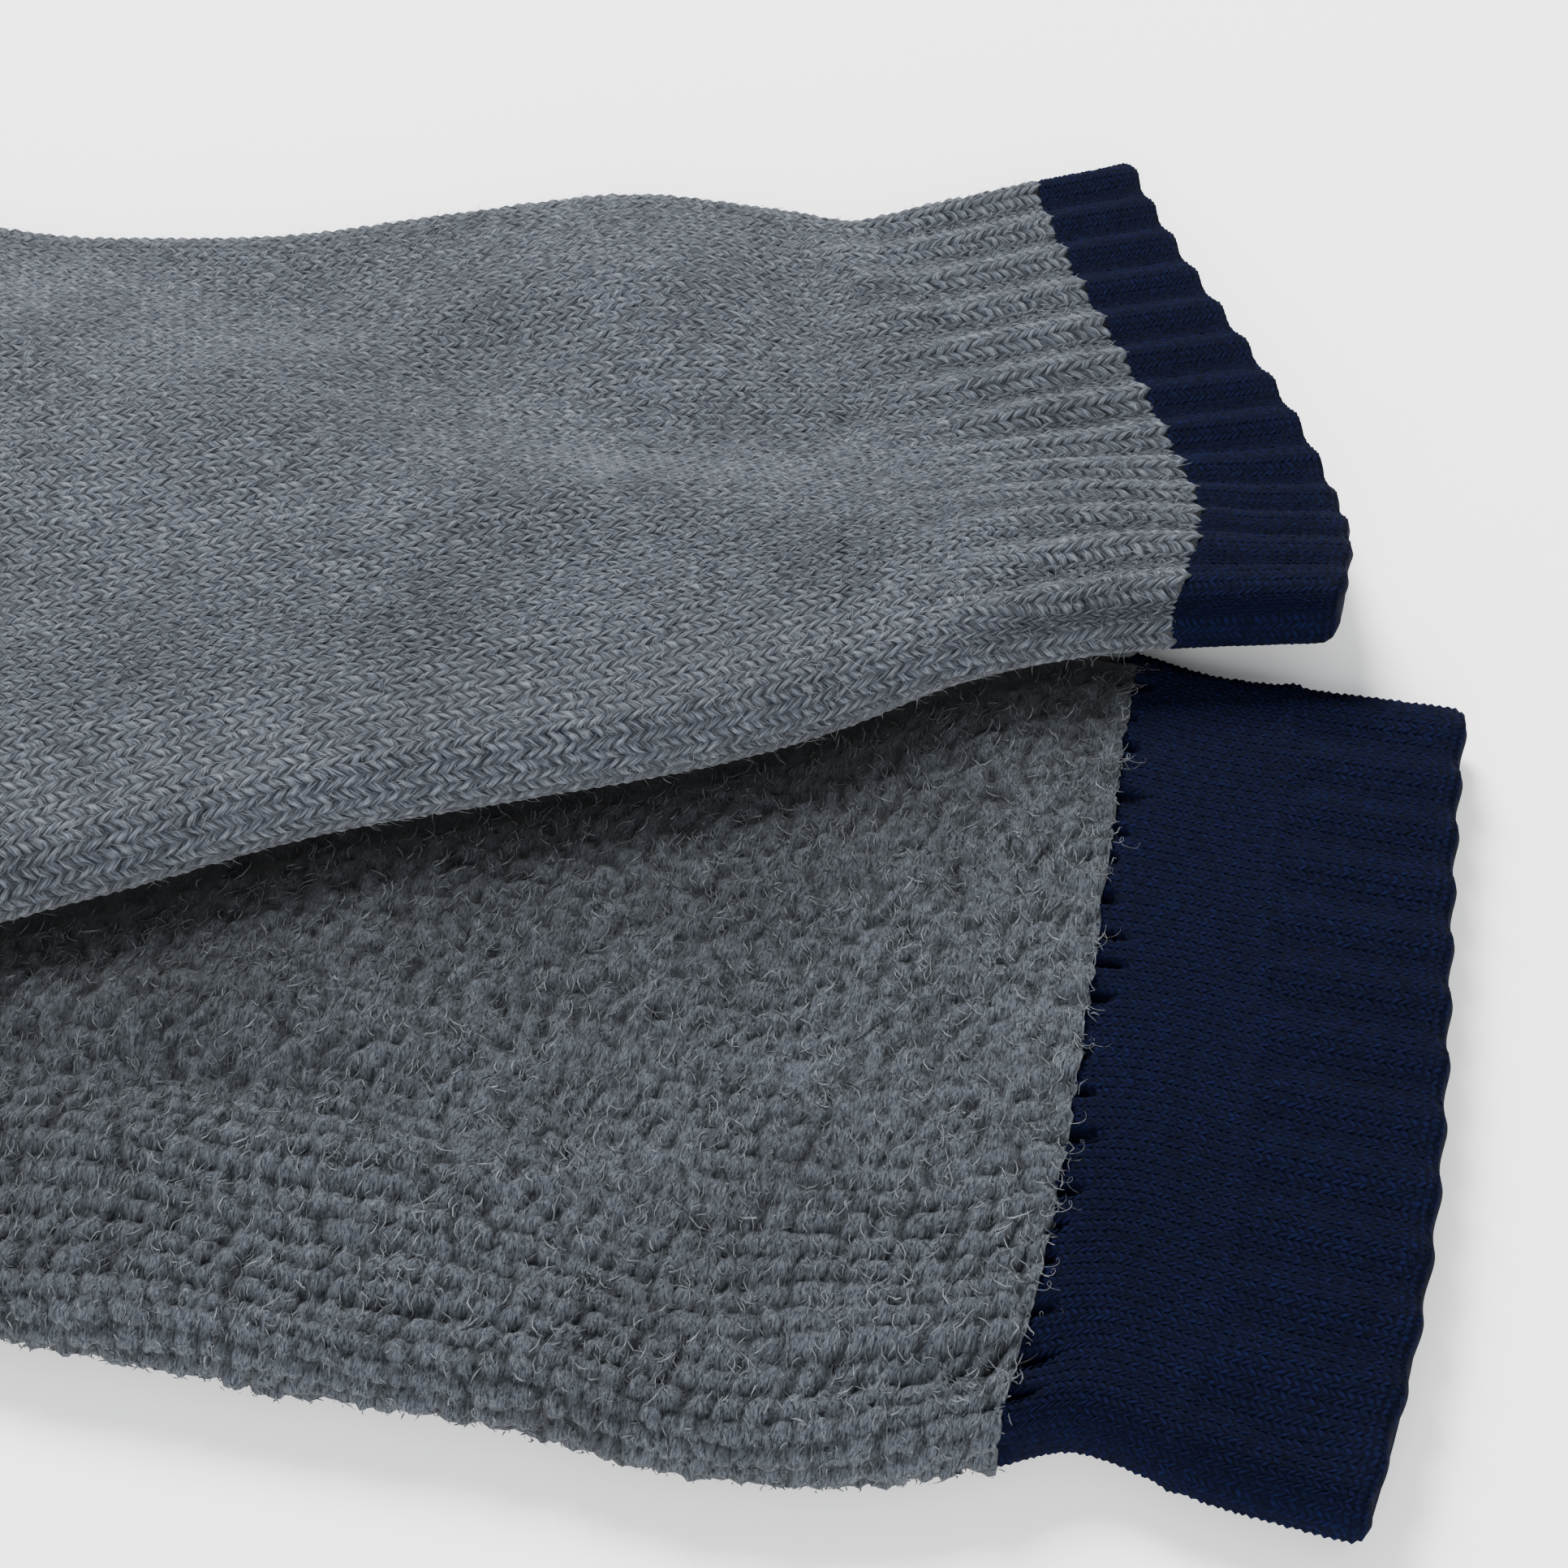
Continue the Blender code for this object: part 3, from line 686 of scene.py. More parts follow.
# %% [markdown]
# ## Loop pile
# Turned inside out, the sock shows the worn loops of its lining. They have felted into small
# tufts, in rows along the leg towards the near edge, with dark gaps between two rows, and into an
# even fleece elsewhere. The tufts are a height drawn on the sock's own form. The fibres that make
# them up are laid over it one by one, each about as its neighbours lie, so that they form locks.

# %% Tufts
TUFT_PITCH = 1.3        # along a row
ROW_PITCH = 2.7         # from row to row
TUFT_LENGTH = 0.6       # of a pitch, from a tuft's middle to its end
TUFT_WIDTH = 0.46
PILE_RISE = 1.1
ROWS_FROM = 0.3         # turns, from where the tufts begin to stand in rows
ROWS_OVER = 0.12
TUFT_TABLE = np.random.default_rng(51).random((512, 512))


def value_noise(u, v):
    """Smooth noise from a seeded table, one lattice step to a unit."""
    i, j = np.floor(u).astype(int), np.floor(v).astype(int)
    a, b = ease(u - i), ease(v - j)
    corners = ((0, 0), (1, 0), (0, 1), (1, 1))
    corner = [TUFT_TABLE[(i + m) % 512, (j + n) % 512] for m, n in corners]
    low = corner[0] * (1 - a) + corner[1] * a
    high = corner[2] * (1 - a) + corner[3] * a
    return low * (1 - b) + high * b


def in_rows(at, turns):
    """How clearly the tufts stand in rows: hardly on the far half, well on the near half."""
    return 0.15 + 0.85 * ease(
        (turns - ROWS_FROM) / ROWS_OVER + value_noise(at / 16.0, turns * 16.0) - 0.5)


def tuft_height(at, turns):
    """The height of the pile, 0 in a gap and 1 on a tuft."""
    around = turns * GIRTH + 1.3 * np.sin(at / 13.0) + 0.7 * np.sin(at / 5.1 + 40.0 * turns)
    column = at / TUFT_PITCH + 0.6 * np.sin(around / 2.1)
    line = around / ROW_PITCH
    rows = in_rows(at, turns)
    height = np.zeros(np.shape(at))
    # The nine tufts nearest to a place, each a little out of line
    for step_along in (-1, 0, 1):
        for step_over in (-1, 0, 1):
            i = np.floor(column).astype(int) + step_along
            j = np.floor(line).astype(int) + step_over
            chance = [TUFT_TABLE[(i + 37 * k) % 512, (j + 91 * k) % 512] for k in range(4)]
            du = (column - i - 0.5 - 0.8 * (chance[0] - 0.5)) / TUFT_LENGTH
            dv = (line - j - 0.5 - 0.7 * (1.0 - 0.7 * rows) * (chance[1] - 0.5))
            dv = dv / (TUFT_WIDTH + 0.14 * chance[2] + 0.1 * (1.0 - rows))
            bump = np.clip(1.0 - du * du - dv * dv, 0.0, 1.0) ** 0.6
            height = np.maximum(height, bump * (0.6 + 0.4 * chance[3]))
    soft = 0.35 + 0.65 * ease(1.7 * value_noise(at / 0.8, around / 1.0) - 0.35)
    return height * rows + (1.0 - rows) * (0.55 * height + 0.45 * soft)


# %% Relief and tone of the pile
GATHERS = 42            # tucks round the tube, where the facing is sewn to the pile
GATHER_FADE = 6.0
SHADOW_NEAR = 6.0      # beside the upper sock, where the painted shadow on the pile is deepest
SHADOW_FAR = 40.0      # out to where a faint painted shadow on the pile ends
LIGHTER_LENGTH = 35.0     # behind the facing, over which the pile is drawn lighter


def gather_phase(turns):
    """Where in its tuck each place lies; the tucks aren't evenly spaced."""
    return 2.0 * np.pi * GATHERS * turns + 1.3 * np.sin(31.0 * turns)


def beside_upper(at, turns):
    """How far places on the lower sock lie outside the upper one, in mm."""
    x, y = np.moveaxis(cloth(LOWER, at, turns)[..., :2] / MM, -1, 0)
    return distance_outside(x + CENTRE_X, y + CENTRE_Y, UPPER_OUTLINE)


def pile_relief(at, turns):
    """The pile's tufts, pressed down beneath the upper sock, and the facing's tucks dying out."""
    free = ease((beside_upper(at, turns) + 2.0) / 2.5)
    fade = 1.0 - ease((at - FACING_LENGTH) / GATHER_FADE)
    tucked = 0.4 * fade * np.cos(gather_phase(turns) + 3.1)
    edge = 0.35 * (1.0 - ease((at - FACING_LENGTH) / 2.0))
    ragged = (value_noise(at / 1.1, turns * 90.0) - 0.5) * ease((turns - 0.46) / 0.03)
    return tucked + edge + ragged + PILE_RISE * (tuft_height(at, turns) - 0.6) * free - (1.0 - free)


def pile_tone(at, turns):
    """Painted shade in the gaps and as the upper sock's shadow; lighter by the facing."""
    off = beside_upper(at, turns)
    # Painted shadow on the pile beside the upper sock, deepest at its edge
    painted_shadow = (0.35 + 0.65 * ease(off / SHADOW_NEAR)) * (0.45 + 0.55 * ease(off / SHADOW_FAR))
    # The pile is drawn up to a fifth lighter near the facing
    lighter_by_facing = 1.0 + 0.2 * (1.0 - ease((at - FACING_LENGTH) / LIGHTER_LENGTH))
    rows = in_rows(at, turns)
    # Painted shade: the gaps between tufts are darker than the tufts
    return (0.25 * rows + (1.0 - 0.25 * rows) * tuft_height(at, turns)) * painted_shadow * lighter_by_facing


def pile_patch(start, end, rows, per_sector):
    """The tufts of one section of pile."""
    row = start + (end - start) * np.arange(rows + 1) / rows
    turn = FIRST_TURN + np.arange(FINE_SECTORS * per_sector + 1) / (SECTORS * per_sector)
    at, turns = np.meshgrid(row, turn, indexing="ij")
    if start == FACING_LENGTH:
        lobes = value_noise(turns * GIRTH / 0.9, 0.0 * at)
        at = at - 0.6 * lobes * (1.0 - ease((at - start) / 1.2))
    points = cloth(LOWER, at, turns, relief=pile_relief(at, turns))
    around = turns * GIRTH
    yarn = np.stack([face_corners(at), face_corners(around), face_corners(0.0 * at)], axis=-1)
    return Patch(points, at, turns, pile_tone(at, turns)), yarn


# %% Short round strands as one mesh
def unit(vectors):
    """Vectors of length one."""
    return vectors / np.linalg.norm(vectors, axis=-1, keepdims=True)


def surface_frame(sock, at, turns, relief):
    """Points of the surface, and the ways along the sock, round it and out of it."""
    here = cloth(sock, at, turns, relief=relief)
    along = unit(cloth(sock, at + 0.5, turns, relief=relief) - here)
    over = unit(cloth(sock, at, turns + 0.5 / GIRTH, relief=relief) - here)
    outward = unit(np.cross(along, over))
    return here, along, np.cross(outward, along), outward


def strands(name, lines, radii, sides, flat_side, tones, finish):
    """Many short round strands as one mesh, each closed at both ends.

    lines holds the middle points of each strand, radii the radius at each, flat_side a way that
    no part of the strand runs along, and tones how light each point of it is.
    """
    count, steps = lines.shape[:2]
    ahead = unit(np.gradient(lines, axis=1))
    aside = unit(np.cross(ahead, flat_side[:, None, :]))
    up = np.cross(aside, ahead)
    corner = 2.0 * np.pi * np.arange(sides) / sides
    ring = np.cos(corner)[:, None] * aside[:, :, None] + np.sin(corner)[:, None] * up[:, :, None]
    points = lines[:, :, None] + radii[:, :, None, None] * ring
    index = np.arange(count * steps * sides).reshape(count, steps, sides)
    here, there = index[:, :-1], index[:, 1:]
    after_here, after_there = np.roll(here, -1, axis=2), np.roll(there, -1, axis=2)
    quads = np.stack([here, there, after_there, after_here], axis=-1)
    faces = quads.reshape(-1, 4).tolist()
    faces += index[:, 0].tolist() + index[:, -1, ::-1].tolist()
    mesh = bpy.data.meshes.new(name)
    mesh.from_pydata(points.reshape(-1, 3).tolist(), [], faces)
    run = np.linalg.norm(np.diff(lines, axis=1), axis=-1) / MM
    run = np.concatenate([np.zeros((count, 1)), np.cumsum(run, axis=1)], axis=1)
    own = np.random.default_rng(count).random((count, 1, 1)) * OWN_REACH
    girth = corner * radii.mean() / MM
    yarn = np.broadcast_arrays(run[:, :, None], girth[None, None, :], own)
    write_attribute(mesh, "yarn", "FLOAT_VECTOR", "POINT", np.stack(yarn, axis=-1))
    rise = np.broadcast_to(tones[:, :, None], index.shape)
    write_attribute(mesh, "rise", "FLOAT", "POINT", rise)
    piece = put_in_scene(mesh, finish)
    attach(piece, "root")
    print(f"{name}: {count} strands, {count * (2 * sides * steps - 4)} triangles")
    return piece


# %% Fibres
Fibres = namedtuple("Fibres", "count zone size lift steer wave steps radius")
LOCK_LENGTH = 1.4       # along the sock
LOCK_WIDTH = 1.7
OFF_TABLE = 2.0         # radii that a fibre's middle stays above the table


def scatter(name, rng, sock, fibres, relief, tone, finish):
    """Fibres that lie on the cloth or stand off it.

    zone is the stretch from the mouth and the turns that they grow in, steer turns them from the
    way along the sock, in radians, and wave is how far and how often they swing aside.
    """
    at = rng.uniform(fibres.zone[0], fibres.zone[1], fibres.count)
    turns = rng.uniform(fibres.zone[2], fibres.zone[3], fibres.count)
    if sock is LOWER:
        free = beside_upper(at, turns) > -1.2
        at, turns = at[free], turns[free]
    count = len(at)
    here, along, over, outward = surface_frame(sock, at, turns, relief(at, turns))
    # Fibres that grow near each other turn alike, and so they lie in locks
    lock = 2.0 * value_noise(at / LOCK_LENGTH + 90.0, turns * GIRTH / LOCK_WIDTH) - 1.0
    side = rng.choice((-1.0, 1.0), count)
    heading = side * fibres.steer[0] + fibres.steer[1] * rng.normal(size=count)
    heading = heading + fibres.steer[2] * lock
    ahead = -np.cos(heading)[:, None] * along + np.sin(heading)[:, None] * over
    # Below the near edge fibres are short, since they lie against the table
    low = 1.0 - (0.6 if sock is LOWER else 0.2) * ease((turns - 0.45) / 0.04)[:, None]
    length = fibres.size * np.minimum(rng.lognormal(0.0, 0.35, count), 1.5)[:, None] * low
    part = np.linspace(0.0, 1.0, fibres.steps)
    rise = fibres.lift * np.minimum(rng.lognormal(0.0, 0.6, count), 1.6)[:, None] * low
    rise = rise * part ** 1.3
    phase = rng.uniform(0.0, 2.0 * np.pi, count)[:, None]
    swing = fibres.wave[0] * np.sin(fibres.wave[1] * part * length + phase)
    curl = fibres.wave[0] * (np.cos(fibres.wave[1] * part * length + phase) - np.cos(phase))
    bend = rng.normal(0.0, 0.25, count)[:, None] * length * part ** 2
    lines = here[:, None] + MM * (
        (part * length + curl)[..., None] * ahead[:, None]
        + (rise + 0.4 * np.abs(swing))[..., None] * outward[:, None]
        + (swing + bend)[..., None] * np.cross(outward, ahead)[:, None])
    lines[..., 2] = np.maximum(lines[..., 2], OFF_TABLE * fibres.radius * MM)
    thick = rng.uniform(0.75, 1.25, count)[:, None] * fibres.radius * MM
    radii = thick * (1.0 - 0.6 * np.abs(2.0 * part - 0.8))
    # Each fibre takes the tone of the cloth at its root, painted shade included
    tones = np.repeat(tone(at, turns)[:, None], fibres.steps, axis=1)
    return strands(name, lines, radii, 3, outward, tones, finish)


# %% [markdown]
# ## Wool
# The yarn is melange wool: fibres of light and dark grey are mixed before spinning, so a strand is
# streaked along its length and no two strands match. It is matt, with a faint bloom where loose
# fibres catch the light. The streaks follow the strands because they read each strand's own
# coordinates.


# %% Colours and nodes
def from_hex(code):
    """An sRGB colour as the linear values that a shader takes."""
    parts = [int(code[k:k + 2], 16) / 255.0 for k in (1, 3, 5)]
    linear = [c / 12.92 if c <= 0.04045 else ((c + 0.055) / 1.055) ** 2.4 for c in parts]
    return (*linear, 1.0)


def add_node(tree, kind, inputs=(), **settings):
    """Add a shader node with its settings, and fill or link its inputs."""
    node = tree.nodes.new(kind)
    for name, value in settings.items():
        setattr(node, name, value)
    for name, value in dict(inputs).items():
        if isinstance(value, bpy.types.NodeSocket):
            tree.links.new(value, node.inputs[name])
        else:
            node.inputs[name].default_value = value
    return node


MIX_A, MIX_B, MIX_OUT = 6, 7, 2     # the colour sockets of a Mix node
CLOUDS = 60.0                       # to the metre: an uneven patch is about 17 mm across
Wool = namedtuple("Wool", "dark light streaks curl sheen gap crest patches")


def wool(name, look):
    """Spun wool: streaked along the strand, painted shade in the gaps, clouded from patch to patch.
    """
    material = bpy.data.materials.new(name)
    material.use_nodes = True
    tree = material.node_tree
    shader = tree.nodes["Principled BSDF"]
    thread = add_node(tree, "ShaderNodeAttribute", attribute_name="yarn")
    rise = add_node(tree, "ShaderNodeAttribute", attribute_name="rise")
    spread = add_node(tree, "ShaderNodeMapping", {
        "Vector": thread.outputs["Vector"], "Scale": look.streaks})
    streaks = add_node(tree, "ShaderNodeTexNoise", {
        "Vector": spread.outputs["Vector"], "Scale": 1.0, "Detail": 4.0, "Roughness": 0.65,
        "Distortion": look.curl})
    share = add_node(tree, "ShaderNodeMapRange", {
        "Value": streaks.outputs["Fac"], "From Min": 0.36, "From Max": 0.68})
    fibres = add_node(tree, "ShaderNodeMix", {
        "Factor": share.outputs["Result"], MIX_A: from_hex(look.dark),
        MIX_B: from_hex(look.light)}, data_type="RGBA")
    where = add_node(tree, "ShaderNodeTexCoord")
    clouds = add_node(tree, "ShaderNodeTexNoise", {
        "Vector": where.outputs["Object"], "Scale": CLOUDS, "Detail": 4.0, "Roughness": 0.6})
    cloud = add_node(tree, "ShaderNodeMapRange", {
        "Value": clouds.outputs["Fac"], "From Min": 0.3, "From Max": 0.7,
        "To Min": 1.0 - look.patches, "To Max": 1.0 + look.patches})
    # Painted shade from the rise attribute: darker in the gaps, lighter on the crests
    depth = add_node(tree, "ShaderNodeMapRange", {
        "Value": rise.outputs["Fac"], "From Min": 0.0, "From Max": 0.8,
        "To Min": look.gap, "To Max": look.crest})
    value = add_node(tree, "ShaderNodeMath", {
        0: cloud.outputs["Result"], 1: depth.outputs["Result"]}, operation="MULTIPLY")
    tinted = add_node(tree, "ShaderNodeHueSaturation", {
        "Color": fibres.outputs[MIX_OUT], "Value": value.outputs["Value"]})
    relief = add_node(tree, "ShaderNodeBump", {
        "Height": streaks.outputs["Fac"], "Strength": 0.5, "Distance": 0.25 * MM})
    tree.links.new(tinted.outputs["Color"], shader.inputs["Base Color"])
    tree.links.new(relief.outputs["Normal"], shader.inputs["Normal"])
    shader.inputs["Roughness"].default_value = 0.95
    shader.inputs["Specular IOR Level"].default_value = 0.06
    shader.inputs["Sheen Weight"].default_value = look.sheen
    shader.inputs["Sheen Roughness"].default_value = 0.5
    return material


# Melange wool yarn, plain knitted: streaks 0.14 mm wide along each strand, painted shade in the
# gaps between
GREY_WOOL = wool("melange_wool_knit", Wool(
    dark="#171a21", light="#5c6067", streaks=(0.8, 7.0, 1.0), curl=0.5, sheen=0.06,
    gap=0.33, crest=1.1, patches=0.2))
# The same wool as felted pile: fine streaks across the leg, painted shade in the gaps between tufts
PILE_WOOL = wool("melange_wool_pile", Wool(
    dark="#121419", light="#44484d", streaks=(5.0, 1.4, 1.0), curl=0.9, sheen=0.06,
    gap=0.12, crest=1.15, patches=0.2))
# The pile's own fibres, each of one tone, from dark to light, and in the pile's painted shade
PILE_FIBRE = wool("melange_pile_fibre", Wool(
    dark="#0f1115", light="#62666b", streaks=(0.5, 0.5, 1.0), curl=0.0, sheen=0.06,
    gap=0.15, crest=1.15, patches=0.2))
# Dyed fine wool of the band and facing: close and even, hardly streaked, painted shade in the gaps
NAVY_WOOL = wool("navy_wool_rib", Wool(
    dark="#02040d", light="#060c2a", streaks=(1.0, 6.0, 1.0), curl=0.3, sheen=0.0,
    gap=0.4, crest=1.15, patches=0.12))
# Single light fibres that stand off the cloth
LOOSE_FIBRE = wool("loose_wool_fibre", Wool(
    dark="#3a3e42", light="#7c7f83", streaks=(1.0, 1.0, 1.0), curl=0.0, sheen=0.1,
    gap=1.0, crest=1.0, patches=0.05))
print("materials:", [m.name for m in bpy.data.materials if "wool" in m.name])

# %% [markdown]
# ## The upper sock
# Knitted from the band downwards. Each grey section starts on the very points where the one
# before it ends, so the stitches run on without a seam. The navy runs on a little beneath the grey.


# %% Relief of ribs and facing
RIB_RISE = 0.7
BAND_RISE = 0.55
FACING_RISE = 0.45
RIB_HOLD = 12.0         # below the band, where the ribs run on at full height
RIB_FADE = 20.0
MID_LINE = 16.5         # from the mouth, where the facing's ribs end
MID_FADE = 3.0
TUCK_DEPTH = 1.1
UNDERLAP = 1.0          # that the navy runs on beneath the grey, so that no gap shows


def tuck_under(at, joint):
    """How far the last courses of navy sink beneath the grey."""
    return 0.6 * ease((at - joint + 0.2) / UNDERLAP)


def relief_band(at, turns):
    """Ribs of the navy band, pulled flatter where it turns down at the near edge."""
    flatter = (1.0 - 0.5 * ease((turns - 0.33) / 0.1)) * (0.6 + 0.4 * ease(at / 5.0))
    return BAND_RISE * rib_wave(turns) * flatter - tuck_under(at, BAND_LENGTH)


def relief_ribs(at, turns):
    """Ribs below the band, which die out into the plain leg."""
    return RIB_RISE * drawn_in(at) * rib_wave(turns)


def tucks(at, turns):
    """Short slits in the facing by the joint, 0 beside a slit and 1 in it."""
    pull = np.cos(gather_phase(turns) + np.sin(82.0 * turns))
    reach = 3.4 + 1.6 * np.sin(57.0 * turns + 1.0)
    ending = ease((at - (FACING_LENGTH - reach)) / (0.7 * reach))
    return np.clip((pull - 0.45) / 0.5, 0.0, 1.0) * ending


def above_mid_line(at):
    """How ribbed the facing is: fully from the mouth, not at all from its middle line."""
    return 1.0 - ease((at - MID_LINE + MID_FADE) / MID_FADE)


def relief_facing(at, turns):
    """Soft ribs from the mouth to the middle line, a faint fold on it, and tucks at the joint."""
    ribs = FACING_RISE * rib_wave(turns) * above_mid_line(at)
    fold = 0.25 * np.exp(-((at - MID_LINE) / 0.9) ** 2)
    return ribs + fold - TUCK_DEPTH * tucks(at, turns) - tuck_under(at, FACING_LENGTH)


def drawn_in(at):
    """How far the ribs draw their purl wales in: fully at the band, not at all in the leg."""
    return 1.0 - ease((at - BAND_LENGTH - RIB_HOLD) / RIB_FADE)


# %% Shade in the grooves and tucks
def groove_shade(at, turns):
    """Painted shade in the grooves of the ribs."""
    return 1.0 - 0.55 * drawn_in(at) * ease(-rib_wave(turns))


def tuck_shade(at, turns):
    """Painted shade in the tucks and, less, in the facing's grooves."""
    groove = 0.25 * above_mid_line(at) * ease(-rib_wave(turns))
    return 1.0 - 0.95 * tucks(at, turns) - groove


# %% Knitting the upper sock
Section = namedtuple("Section", "name node slot start end knit relief shade finish")
UPPER_TOE_AT = UPPER_ALL[-1, 0]
UPPER_END = end_of(UPPER)
UPPER_SECTIONS = (
    Section("navy_cuff_band", "upper_cuff_band", "navy_rib", 0.0, BAND_LENGTH + UNDERLAP, FINE_NAVY,
            relief_band, groove_shade, NAVY_WOOL),
    Section("grey_ribbed_top", "upper_ribbed_top", "grey_knit", BAND_LENGTH, RIBBED_LENGTH, WOOL,
            relief_ribs, groove_shade, GREY_WOOL),
    Section("grey_leg", "upper_leg", "grey_knit", RIBBED_LENGTH, LEG_LENGTH, WOOL,
            relief_ribs, full, GREY_WOOL),
    Section("grey_heel_and_foot", "upper_heel_and_foot", "grey_knit", LEG_LENGTH, UPPER_TOE_AT,
            WOOL_FOOT, nothing, full, GREY_WOOL),
    Section("grey_toe", "upper_toe", "grey_knit", UPPER_TOE_AT, UPPER_END, WOOL_FOOT, nothing,
            full, GREY_WOOL),
)

course = 0
cuts = {}
for section in UPPER_SECTIONS:
    cuts[section.name] = (UPPER, section.start, section.end)
    patch, yarn, courses = knit_patch(UPPER, section.knit, section.start, section.end, course,
                                      section.relief, drawn_in, section.shade)
    piece = knit_tube(section.name, UPPER, patch, yarn, section.knit.along, section.start,
                      section.end, section.finish)
    stand_for(piece, section.node)
    course += courses

# %% [markdown]
# ## The lower sock, inside out
# The facing is knitted in the fine navy yarn: ribbed at the mouth, plain where it is sewn down.
# The loop pile begins behind it, and its first loops hang over the seam.

# %% Making the lower sock
LOWER_TOE_AT = LOWER_ALL[-1, 0]
LOWER_END = end_of(LOWER)
FACING_END = FACING_LENGTH + UNDERLAP
patch, yarn, courses = knit_patch(
    LOWER, FINE_NAVY, 0.0, FACING_END, 0, relief_facing, nothing, tuck_shade)
facing = knit_tube("navy_cuff_facing", LOWER, patch, yarn, FINE_NAVY.along, 0.0, FACING_END,
                   NAVY_WOOL)
stand_for(facing, "lower_cuff_facing")
cuts[facing.name] = (LOWER, 0.0, FACING_LENGTH)

# %% The pile, section by section
Pile = namedtuple("Pile", "name node start end pitch per_sector skip")
PILES = (
    Pile("pile_leg", "lower_leg", FACING_LENGTH, LEG_LENGTH, 0.5, 7, 10),
    Pile("pile_heel_and_foot", "lower_heel_and_foot", LEG_LENGTH, LOWER_TOE_AT, 1.1, 4, 5),
    Pile("pile_toe", "lower_toe", LOWER_TOE_AT, LOWER_END, 1.1, 4, 5),
)
for pile in PILES:
    rows = round((pile.end - pile.start) / pile.pitch / pile.skip) * pile.skip
    patch, yarn = pile_patch(pile.start, pile.end, rows, pile.per_sector)
    piece = knit_tube(pile.name, LOWER, patch, yarn, pile.skip, pile.start, pile.end, PILE_WOOL)
    stand_for(piece, pile.node)
    cuts[pile.name] = (LOWER, pile.start, pile.end)

# %% [markdown]
# ## Fibres
# Wool is never smooth. On the pile the fibres lie in locks, mostly across the leg. On the plain
# knit short fibres lie over the stitches, and longer ones stand up along the edges. They are
# drawn as hair-fine strands, since the edge of the cloth shows them one by one.

# %% Scattering fibres
LEG_ZONE = (32.3, LEG_LENGTH, -0.03, 0.53)
CURL_ZONE = (34.5, LEG_LENGTH, -0.03, 0.53)
FOOT_ZONE = (LEG_LENGTH, LOWER_END - 3.0, -0.03, 0.53)
PILE_FUZZ = {
    "pile_locks": Fibres(12500, LEG_ZONE, 1.3, 0.35, (1.45, 0.25, 0.6), (0.3, 2.4), 4, 0.08),
    "pile_foot_locks": Fibres(3200, FOOT_ZONE, 2.4, 0.5, (1.45, 0.35, 0.9), (0.2, 1.6), 3, 0.13),
    "pile_curls": Fibres(
        2400, CURL_ZONE, 0.6, 0.25, (1.4, 0.5, 0.9), (0.28, 5.0), 6, 0.018),
    "curls_over_facing": Fibres(
        30, (32.6, 34.2, 0.01, 0.49), 2.2, 0.3, (0.5, 0.8, 0.0), (0.5, 4.0), 16, 0.022),
}
KNIT_FUZZ = {
    "knit_fuzz": Fibres(
        3800, (17.0, LEG_LENGTH, 0.0, 0.5), 1.3, 0.2, (0.55, 0.35, 0.0), (0.05, 2.0), 3, 0.028),
    "near_edge_fuzz": Fibres(
        650, (17.0, LEG_LENGTH, 0.44, 0.52), 1.7, 0.6, (0.9, 0.6, 0.0), (0.2, 2.4), 5, 0.022),
    "far_edge_fuzz": Fibres(
        450, (17.0, LEG_LENGTH, -0.02, 0.08), 0.9, 0.5, (0.9, 0.5, 0.0), (0.1, 3.0), 3, 0.034),
}
for seed, (name, fibres) in enumerate(PILE_FUZZ.items()):
    finish = PILE_FIBRE if "pile" in name else LOOSE_FIBRE
    fuzz = scatter(name, np.random.default_rng(80 + seed), LOWER, fibres, pile_relief, pile_tone,
                   finish)
for seed, (name, fibres) in enumerate(KNIT_FUZZ.items()):
    fuzz = scatter(name, np.random.default_rng(90 + seed), UPPER, fibres, relief_ribs, full,
                   LOOSE_FIBRE)

# %% [markdown]
# ## The cloth
# Each section is a piece of tube. Its flat size is told as it would be if the tube were slit open
# and laid out: the greatest way round it by its length, and its area where it isn't a rectangle.


def cut_of(sock, start, end):
    """The greatest way round a stretch of sock, its length and its area, in metres."""
    at = np.linspace(start, end, 60)
    far, near, _ = edges_at(sock.rows, at)
    width = np.maximum(np.hypot(*(near - far).T), 2.0 * half_height(at))
    girth = 2.0 * width - (4.0 - 2.0 * np.pi) * half_height(at)
    return girth.max() * MM, (end - start) * MM, girth.mean() * (end - start) * MM * MM


for name, (sock, start, end) in cuts.items():
    girth, length, area = cut_of(sock, start, end)
    print(f"{name}: {girth * 1000:.0f} x {length * 1000:.0f} mm, {area * 10000:.0f} cm2")
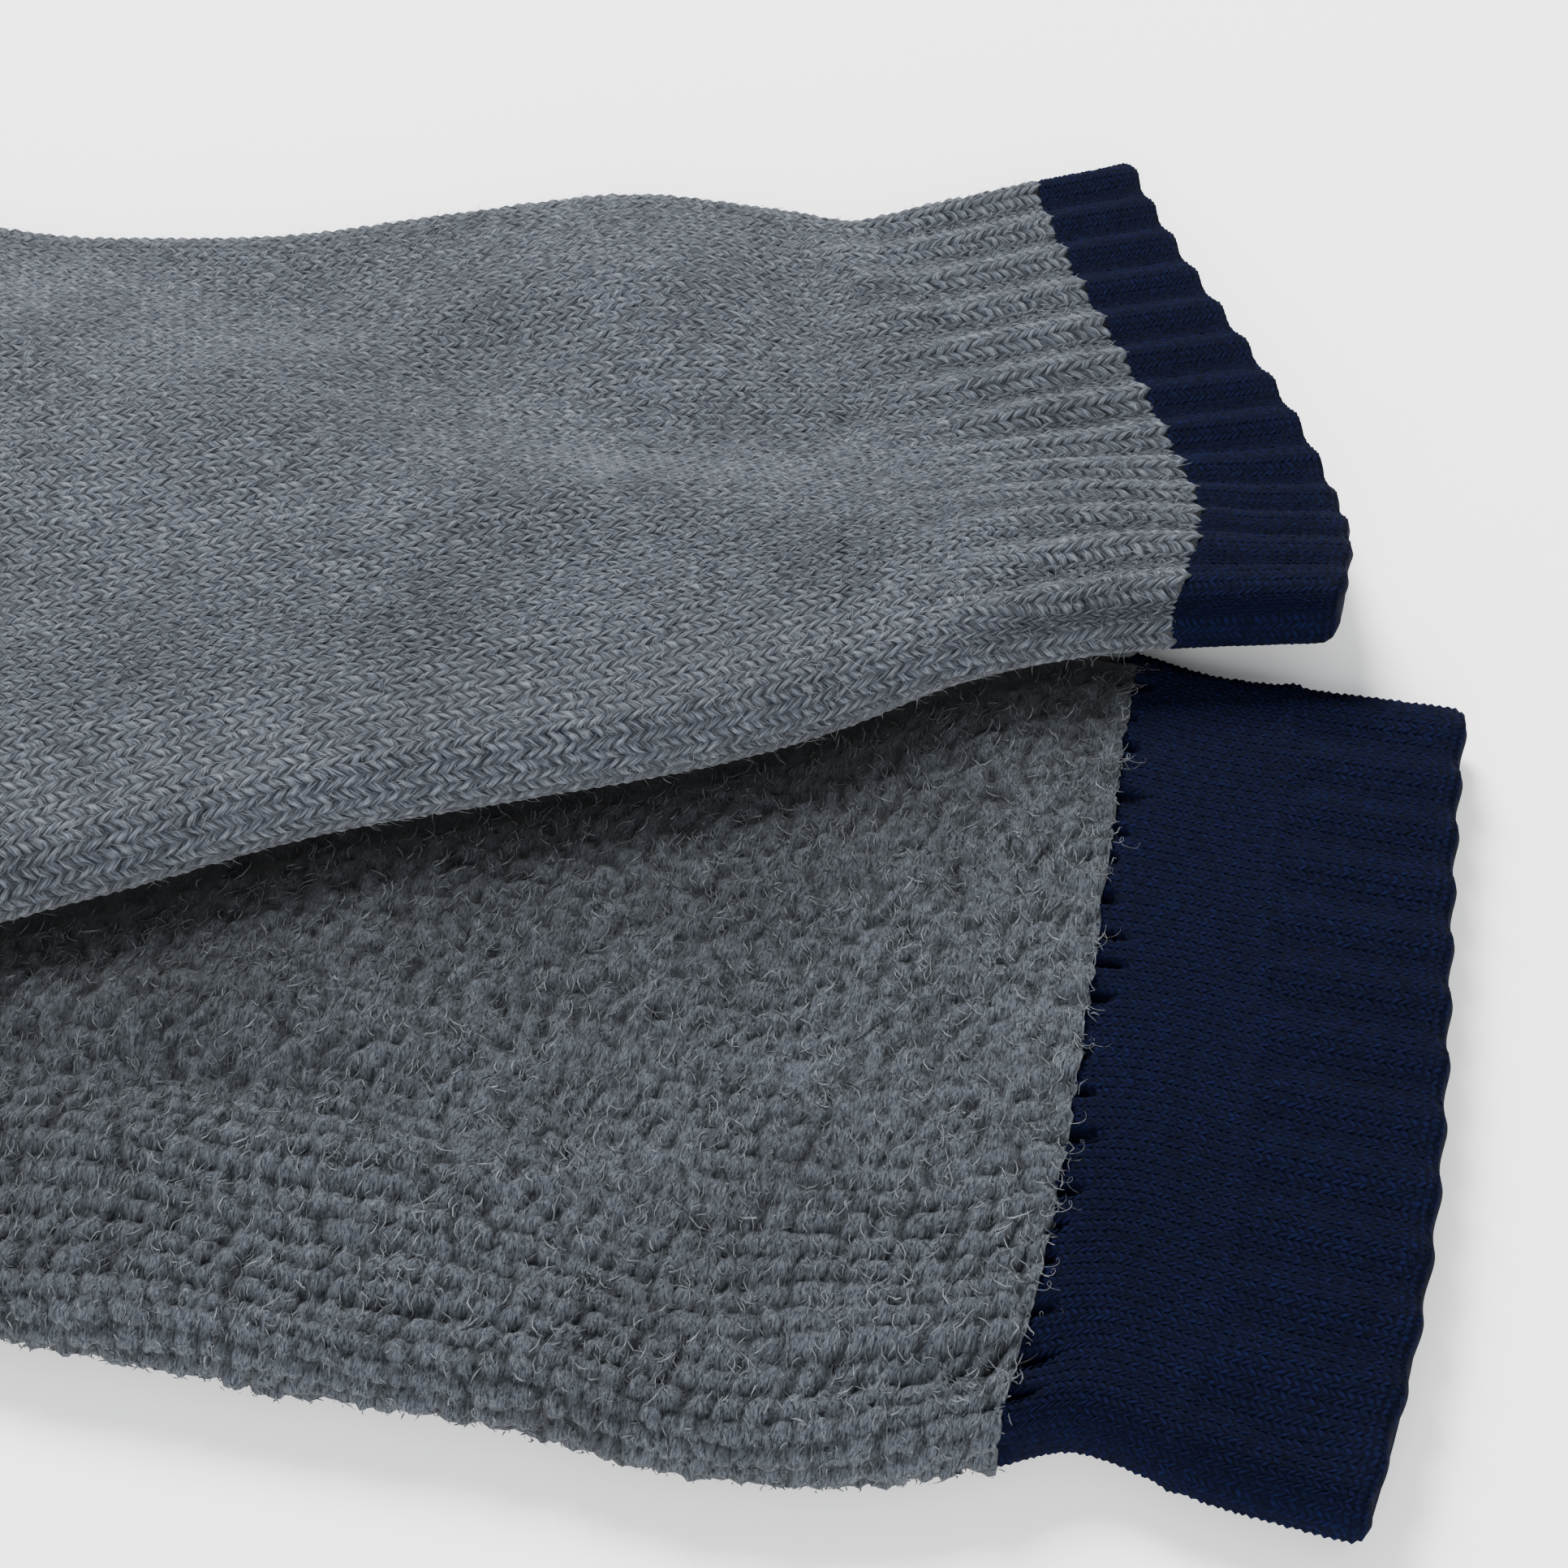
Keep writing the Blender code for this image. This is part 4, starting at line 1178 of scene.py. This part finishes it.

# %% [markdown]
# ## Table, light and camera
# The pair lies on a pale table under a broad soft light from behind, which leaves the
# lower sock in shade along the edge of the upper one, deepened there by painted shadow on the
# pile. The camera looks down on it as in a close photograph of the cuffs.

# %% Table
TABLE_SIZE = 3.0            # metres, far more than the camera sees
table_paint = bpy.data.materials.new("pale_table")
table_paint.use_nodes = True
table_shader = table_paint.node_tree.nodes["Principled BSDF"]
table_shader.inputs["Base Color"].default_value = from_hex("#f6f6f6")
table_shader.inputs["Roughness"].default_value = 0.9
bpy.ops.mesh.primitive_plane_add(size=TABLE_SIZE, location=(0.0, 0.0, -0.0001))
table = bpy.context.object
table.name = "table_top"
table.data.materials.append(table_paint)

# %% Two soft lights and a pale room
Light = namedtuple("Light", "name place size power")
LIGHTS = (
    Light("window", (-0.2, 0.95, 0.95), 0.5, 66.0),
    Light("room", (0.1, -1.2, 0.45), 1.0, 44.0),
)
LOOK_AT = (-CENTRE_X * MM, -CENTRE_Y * MM, 0.0)
for light in LIGHTS:
    away = [a - b for a, b in zip(light.place, LOOK_AT)]
    bpy.ops.object.light_add(type="AREA", location=light.place)
    lamp = bpy.context.object
    lamp.name = light.name
    lamp.data.size = light.size
    lamp.data.energy = light.power
    lean_back = math.atan2(math.hypot(away[0], away[1]), away[2])
    lamp.rotation_euler = (lean_back, 0.0, math.atan2(away[0], -away[1]))

world = bpy.data.worlds.new("soft_room")
bpy.context.scene.world = world
world.use_nodes = True
world.node_tree.nodes["Background"].inputs["Color"].default_value = from_hex("#f2f5f9")
world.node_tree.nodes["Background"].inputs["Strength"].default_value = 1.0

# %% Camera
CAMERA_HEIGHT = 47.0        # degrees above the horizon
CAMERA_REACH = 327.2        # mm from the middle of the picture
CAMERA_LENS = 76.2
down = math.radians(CAMERA_HEIGHT)
eye = (LOOK_AT[0], LOOK_AT[1] - CAMERA_REACH * math.cos(down) * MM,
       CAMERA_REACH * math.sin(down) * MM)
bpy.ops.object.camera_add(location=eye, rotation=(0.5 * math.pi - down, 0.0, 0.0))
camera = bpy.context.object
camera.name = "camera"
camera.data.lens = CAMERA_LENS
camera.data.clip_start = 0.01
bpy.context.scene.camera = camera
print("camera at", [round(c, 4) for c in eye])
